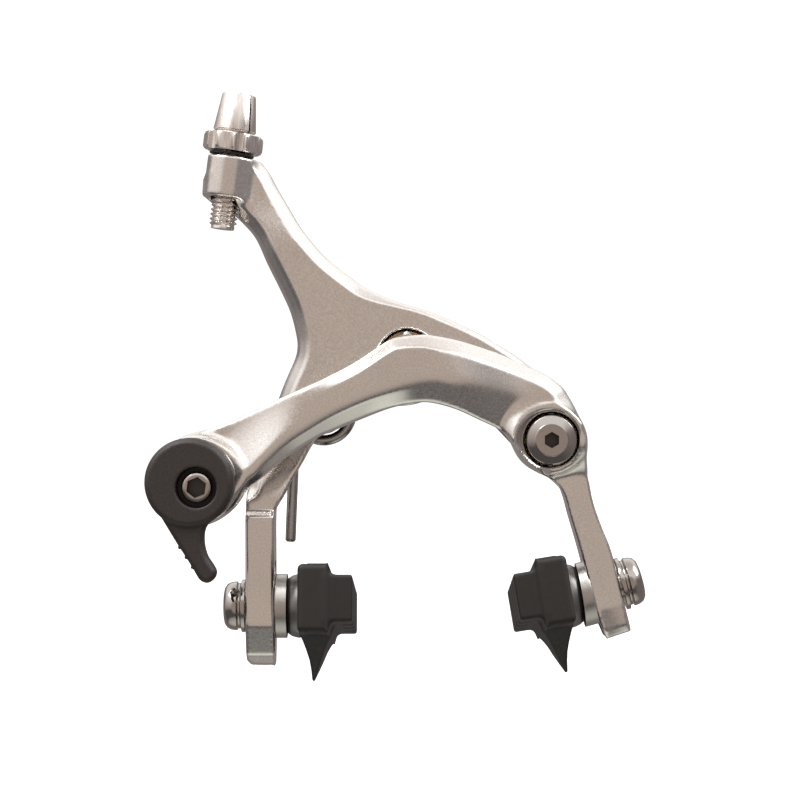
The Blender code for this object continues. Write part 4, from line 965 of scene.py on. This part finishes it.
def make_cam_and_anchor():
    cam = rounded([(0, 26.4), (5.2, 26.4), (5.2, 17.3), (0, 17.3)], 0.4)
    cam = revolve("release_cam_look", cam, pivot_frame(BOSS))
    frame = pivot_frame(ANCHOR)
    hole = revolve("hole", [(0, 30), (2.8, 30), (2.8, 10), (0, 10)], frame, 64)
    stand_for(carve(cam, hole), "release_cam", M["steel"])
    washer("release_spring_washer", 8.2, 6.8, pivot_frame(BOSS), M["spring"], 25.7, 26.4, 0.2)
    top = 31.6
    rows = [(0, top), (2.45, top), (2.95, top - 0.25), (3.15, top - 0.8), (3.15, 28.8), (2.5, 28.8),
            (2.5, 17.0)]
    rows += threaded_rows(2.5, 11.5, 16.9) + [(2.0, 11.1), (0, 11.1)]
    bolt = revolve("anchor_bolt_look", rows, frame, 96, thread_rule(2.1, 2.5, 0.8, 11.3, 17.0))
    socket = prism("socket", 6, 2.2, top + 1, top - 2.4, frame, math.radians(22))
    stand_for(carve(bolt, socket), "anchor_bolt", M["chrome"])

    def field(x, y, z):
        plate = smax(capsule(x, z, (ANCHOR.x, ANCHOR.z), (ANCHOR.x + 2.5, ANCHOR.z + 1.0), 5.2, 5.0) + 0 * y,
                     np.abs(y + 16.2) - 0.8, 0.35)
        plate = smax(plate, 2.8 - np.hypot(x - ANCHOR.x, z - ANCHOR.z) + 0 * y, 0.2)
        groove = 0.85 - np.hypot(x - ANCHOR.x - 4.4, y + 17.2) + 0 * z
        return smax(plate, groove, 0.2)

    sculpt_for("cable_clamp_plate", "cable_clamp_plate_look", 0.2, field, M["steel"], 0.8)
    corner, nut_low, nut_high = 4.6, 12.1, 15.1
    nut = [(4.0, nut_high), (corner, 14.8), (corner, 12.4), (4.0, nut_low), (2.75, nut_low), (2.75, nut_high)]
    nut = revolve("anchor_nut_look", nut, frame, 96, hexagon_rule(corner, nut_low, nut_high))
    stand_for(nut, "anchor_nut", M["steel"])


# ---------------------------------------------------------------- pads
def make_pad_group(side):
    """One side's bolt, washers, shoe holder and pad, built from the leg's inner face inwards."""
    inner_face = joint_point(side + "_pad_tilt")
    up = joint_axis(side + "_pad_height")
    if side == "left":
        inner_face = inner_face + Vector((LEG_THICK / 2, 0, 0))
        inward, shoe_inward, nose = Vector((1, 0, 0)), Vector((1, 0, 0)), -1
    else:
        inward, shoe_inward, nose = Vector((-up.z, 0, up.x)), joint_axis("right_pad_tilt"), 1
    shoe_up = Vector((-shoe_inward.z, 0, shoe_inward.x)) * (1 if side == "left" else -1)
    bolt_frame, shoe_frame = frame_at(inner_face, inward, up), frame_at(inner_face, shoe_inward, shoe_up)
    face = -6.35
    washer(side + "_outer_washer", 5.65, 3.2, bolt_frame, M["chrome"], face - 0.9, face, 0.2)
    washer(side + "_lock_washer", 4.9, 3.2, bolt_frame, M["chrome"], -7.9, -7.4, 0.15)
    head = [(0, -11.05), (2.9, -11.05), (3.9, -10.85), (4.7, -10.3), (5.1, -9.5), (5.25, -8.6), (5.25, -8.2),
            (5.05, -8.05), (2.9, -8.05)]
    rows = [(0, 7.3), (2.4, 7.3)] + threaded_rows(2.9, -1.0, 7.0) + [(2.9, -1.2)] + head[::-1]
    shank_thread = thread_rule(2.45, 2.9, 1.0, -1.1, 7.2)

    def threads(turn, radius, height):
        if height <= -1.15 or radius >= 3:
            return np.full(len(turn), float(radius))
        return shank_thread(turn, radius, height)

    bolt = revolve(side + "_pad_bolt_look", rows, bolt_frame, 96, threads)
    socket = prism("socket", 6, 2.3, -12.0, -8.65, bolt_frame, 0.3)
    stand_for(carve(bolt, socket), side + "_pad_bolt", M["chrome"])
    seat = revolve(side + "_inner_washer_look",
                   [(6.75, 4.2), (6.9, 4.0), (6.9, 0.35), (6.7, 0.15), (3.2, 0.15), (3.2, 4.2)], bolt_frame)
    depth = 6.0
    trim = sculpt("trim", (-9.5, -9.5, -0.6), (9.5, 9.5, depth + 0.6), 0.6,
                  lambda x, y, z: round_box(x, y, z - depth / 2, (9, 9, depth / 2), 0.05),
                  shoe_frame @ Matrix.Translation((0, 0, 2.55 * MM)))
    stand_for(carve(seat, trim), side + "_inner_washer", M["steel"])
    holder = [(0, 8.8), (4.0, 8.8), (4.0, 5.5), (6.75, 5.5), (6.9, 5.3), (6.8, 4.6), (6.5, 3.6), (6.0, 2.9),
              (5.8, 2.7), (3.4, 2.7), (3.2, 3.0), (3.2, 7.6), (0, 7.6)]
    holder = revolve(side + "_shoe_holder_look", holder, shoe_frame)
    stand_for(holder, side + "_shoe_holder", M["shoe"])
    make_pad(side, shoe_frame @ Matrix.Rotation(nose * math.radians(9.4), 4, "Z"))


def make_pad(side, frame):
    """Rubber pad in its own frame: local X along it, local Y up and local Z towards the rim."""
    back, mid, front = 5.8, 12.4, 17.1
    groove_pitch, groove_width, groove_depth = 12.0, 2.0, 2.4
    fin = [(-5.5, 5.9, 12.9), (-7.6, 6.2, 12.1), (-9.8, 7.0, 11.0), (-11.8, 7.6, 10.3), (-13.8, 7.9, 9.5),
           (-15.2, 8.0, 8.9), (-16.2, 8.1, 8.5)]

    def field(x, y, z):
        base = round_box(x, y, z - (back + mid) / 2, (25.0, 7.0, (mid - back) / 2), 1.1)
        rim = round_box(x, y, z - mid + 0.5, (25.15, 7.15, 0.28), 0.25)
        raised = round_box(x, y - 6.9, z - 9.6, (21.0, 0.5, 2.2), 0.3)
        tread = round_box(x, y, z - (mid - 1 + front) / 2, (24.4, 4.8, (front - mid + 1) / 2), 0.55)
        body = smin(smin(base, raised, 0.4), tread, 1.6)
        body = smin(body, rim, 0.25)
        heights = np.array([row[0] for row in fin])[::-1]
        low = np.interp(y, heights, [row[1] for row in fin][::-1])
        high = np.interp(y, heights, [row[2] for row in fin][::-1])
        reach = np.interp(y, [-16.2, -13.0, -9.0, -5.0], [1.6, 5.2, 10.0, 15.0])
        keel = smax(np.abs(z - (low + high) / 2) - (high - low) / 2, (np.abs(x + 0 * z) - reach) * 0.75, 0.8)
        keel = smax(keel, -y - 16.2, 0.4)
        body = smin(body, smax(keel, y + 5.0, 0.5), 1.2)
        near = (x + groove_pitch / 2) % groove_pitch - groove_pitch / 2
        near = np.where(np.abs(x) < 1.5 * groove_pitch, near, groove_pitch)
        groove = smax(np.abs(near) - groove_width / 2, front - groove_depth - z + 0 * y, 0.3)
        body = smax(body, -groove, 0.25)
        stem = smax(np.hypot(x, y) - 4.3, z - 9.1, 0.1)
        return smax(body, -stem, 0.2)

    low, high = (-26, -17.2, back - 1), (26, 8.4, front + 1)
    pad = sculpt(side + "_brake_pad_look", low, high, 0.3, field, frame)
    stand_for(pad, side + "_brake_pad", M["rubber"])


make_front_arm()
make_rear_arm()
make_bracket()
make_centre_pivot()
make_side_pivot()
make_return_spring()
make_spring_seat()
make_adjuster()
make_centering_screw()
make_bushes()
make_lever()
make_cam_and_anchor()
for pad_side in ("left", "right"):
    make_pad_group(pad_side)


# ---------------------------------------------------------------- camera, light and floor
def make_camera():
    camera = bpy.data.objects.new("camera", bpy.data.cameras.new("camera"))
    bpy.context.scene.collection.objects.link(camera)
    camera.location = Vector((-1.49, -462.0, -9.17)) * MM
    camera.rotation_euler = (math.radians(90), 0, 0)
    camera.data.lens = 94.0
    camera.data.sensor_width = 36.0
    camera.data.clip_start, camera.data.clip_end = 0.01, 50.0
    bpy.context.scene.camera = camera


def make_floor():
    mesh = bpy.data.meshes.new("floor")
    half, height = 6.0, -0.30
    corners = [(x * half, y * half, height) for x, y in ((-1, -1), (1, -1), (1, 1), (-1, 1))]
    mesh.from_pydata(corners, [], [(0, 1, 2, 3)])
    floor = new_object("floor", mesh)
    material = bpy.data.materials.new("floor_white")
    material.use_nodes = True
    shader = material.node_tree.nodes["Principled BSDF"]
    shader.inputs["Base Color"].default_value = (0.86, 0.86, 0.86, 1)
    shader.inputs["Roughness"].default_value = 0.9
    shader.inputs["Emission Color"].default_value = (1, 1, 1, 1)
    shader.inputs["Emission Strength"].default_value = 0.55
    mesh.materials.append(material)
    floor.visible_diffuse = False
    floor.visible_glossy = False


def make_world():
    """White studio: bright above and beside, taupe in front of the object, dark below."""
    world = bpy.data.worlds.new("studio")
    world.use_nodes = True
    bpy.context.scene.world = world
    nodes, links = world.node_tree.nodes, world.node_tree.links
    nodes.clear()
    direction = nodes.new("ShaderNodeTexCoord").outputs["Generated"]
    split = nodes.new("ShaderNodeSeparateXYZ")
    links.new(direction, split.inputs["Vector"])

    def color_ramp(value, stops):
        node = nodes.new("ShaderNodeValToRGB")
        elements = node.color_ramp.elements
        while len(elements) < len(stops):
            elements.new(0.5)
        for element, (place, color) in zip(elements, stops):
            element.position = place
            element.color = (*color, 1)
        links.new(value, node.inputs["Fac"])
        return node.outputs["Color"]

    def combined(operation, first, second):
        node = nodes.new("ShaderNodeMath")
        node.operation = operation
        links.new(first, node.inputs[0])
        links.new(second, node.inputs[1])
        return node.outputs["Value"]

    height = remap(nodes, links, split.outputs["Z"], 0.0, 1.0, -1.0, 1.0)
    ground, dusk = (0.60, 0.61, 0.55), (0.10, 0.095, 0.095)
    taupe, bright = (0.60, 0.55, 0.52), (0.95, 0.94, 0.93)
    sky = color_ramp(height, [
        (0.0, ground), (0.07, (0.46, 0.46, 0.42)), (0.15, dusk), (0.37, dusk), (0.47, (0.40, 0.36, 0.34)),
        (0.60, taupe), (0.76, bright), (0.90, (0.93, 0.91, 0.90)), (1.0, (0.66, 0.61, 0.585)),
    ])
    facing = remap(nodes, links, split.outputs["Y"], 1.0, 0.0, -0.91, -0.81)
    sides = remap(nodes, links, split.outputs["X"], 0.0, 1.0, 0.40, 0.72)
    level = remap(nodes, links, split.outputs["Z"], 1.0, 0.0, 0.25, 0.55)
    behind = remap(nodes, links, split.outputs["Y"], 0.0, 1.0, 0.10, 0.40)
    shade = combined("MULTIPLY", combined("MAXIMUM", sides, behind), level)
    dim = mixed(nodes, links, shade, sky, (0.20, 0.18, 0.175, 1))
    mix = mixed(nodes, links, facing, dim, (0.385, 0.325, 0.285, 1))
    studio = nodes.new("ShaderNodeBackground")
    studio.inputs["Strength"].default_value = 1.35
    links.new(mix, studio.inputs["Color"])
    white = nodes.new("ShaderNodeBackground")
    white.inputs["Color"].default_value = (1, 1, 1, 1)
    white.inputs["Strength"].default_value = 1.1
    choose = nodes.new("ShaderNodeMixShader")
    links.new(nodes.new("ShaderNodeLightPath").outputs["Is Camera Ray"], choose.inputs["Fac"])
    links.new(studio.outputs["Background"], choose.inputs[1])
    links.new(white.outputs["Background"], choose.inputs[2])
    links.new(choose.outputs["Shader"], nodes.new("ShaderNodeOutputWorld").inputs["Surface"])


def make_lights():
    """Two soft boxes above, for the bright upper bevels."""
    for name, place, size, power in (
        ("top_left", Vector((-0.35, -0.25, 0.60)), 0.5, 4.0),
        ("top_right", Vector((0.50, -0.10, 0.45)), 0.4, 2.5),
    ):
        light = bpy.data.lights.new(name, "AREA")
        light.size = size
        light.energy = power
        obj = bpy.data.objects.new(name, light)
        bpy.context.scene.collection.objects.link(obj)
        obj.location = place
        obj.rotation_euler = (-place).to_track_quat("-Z", "Y").to_euler()


make_camera()
make_floor()
make_world()
make_lights()
bpy.context.scene.view_settings.view_transform = "Standard"
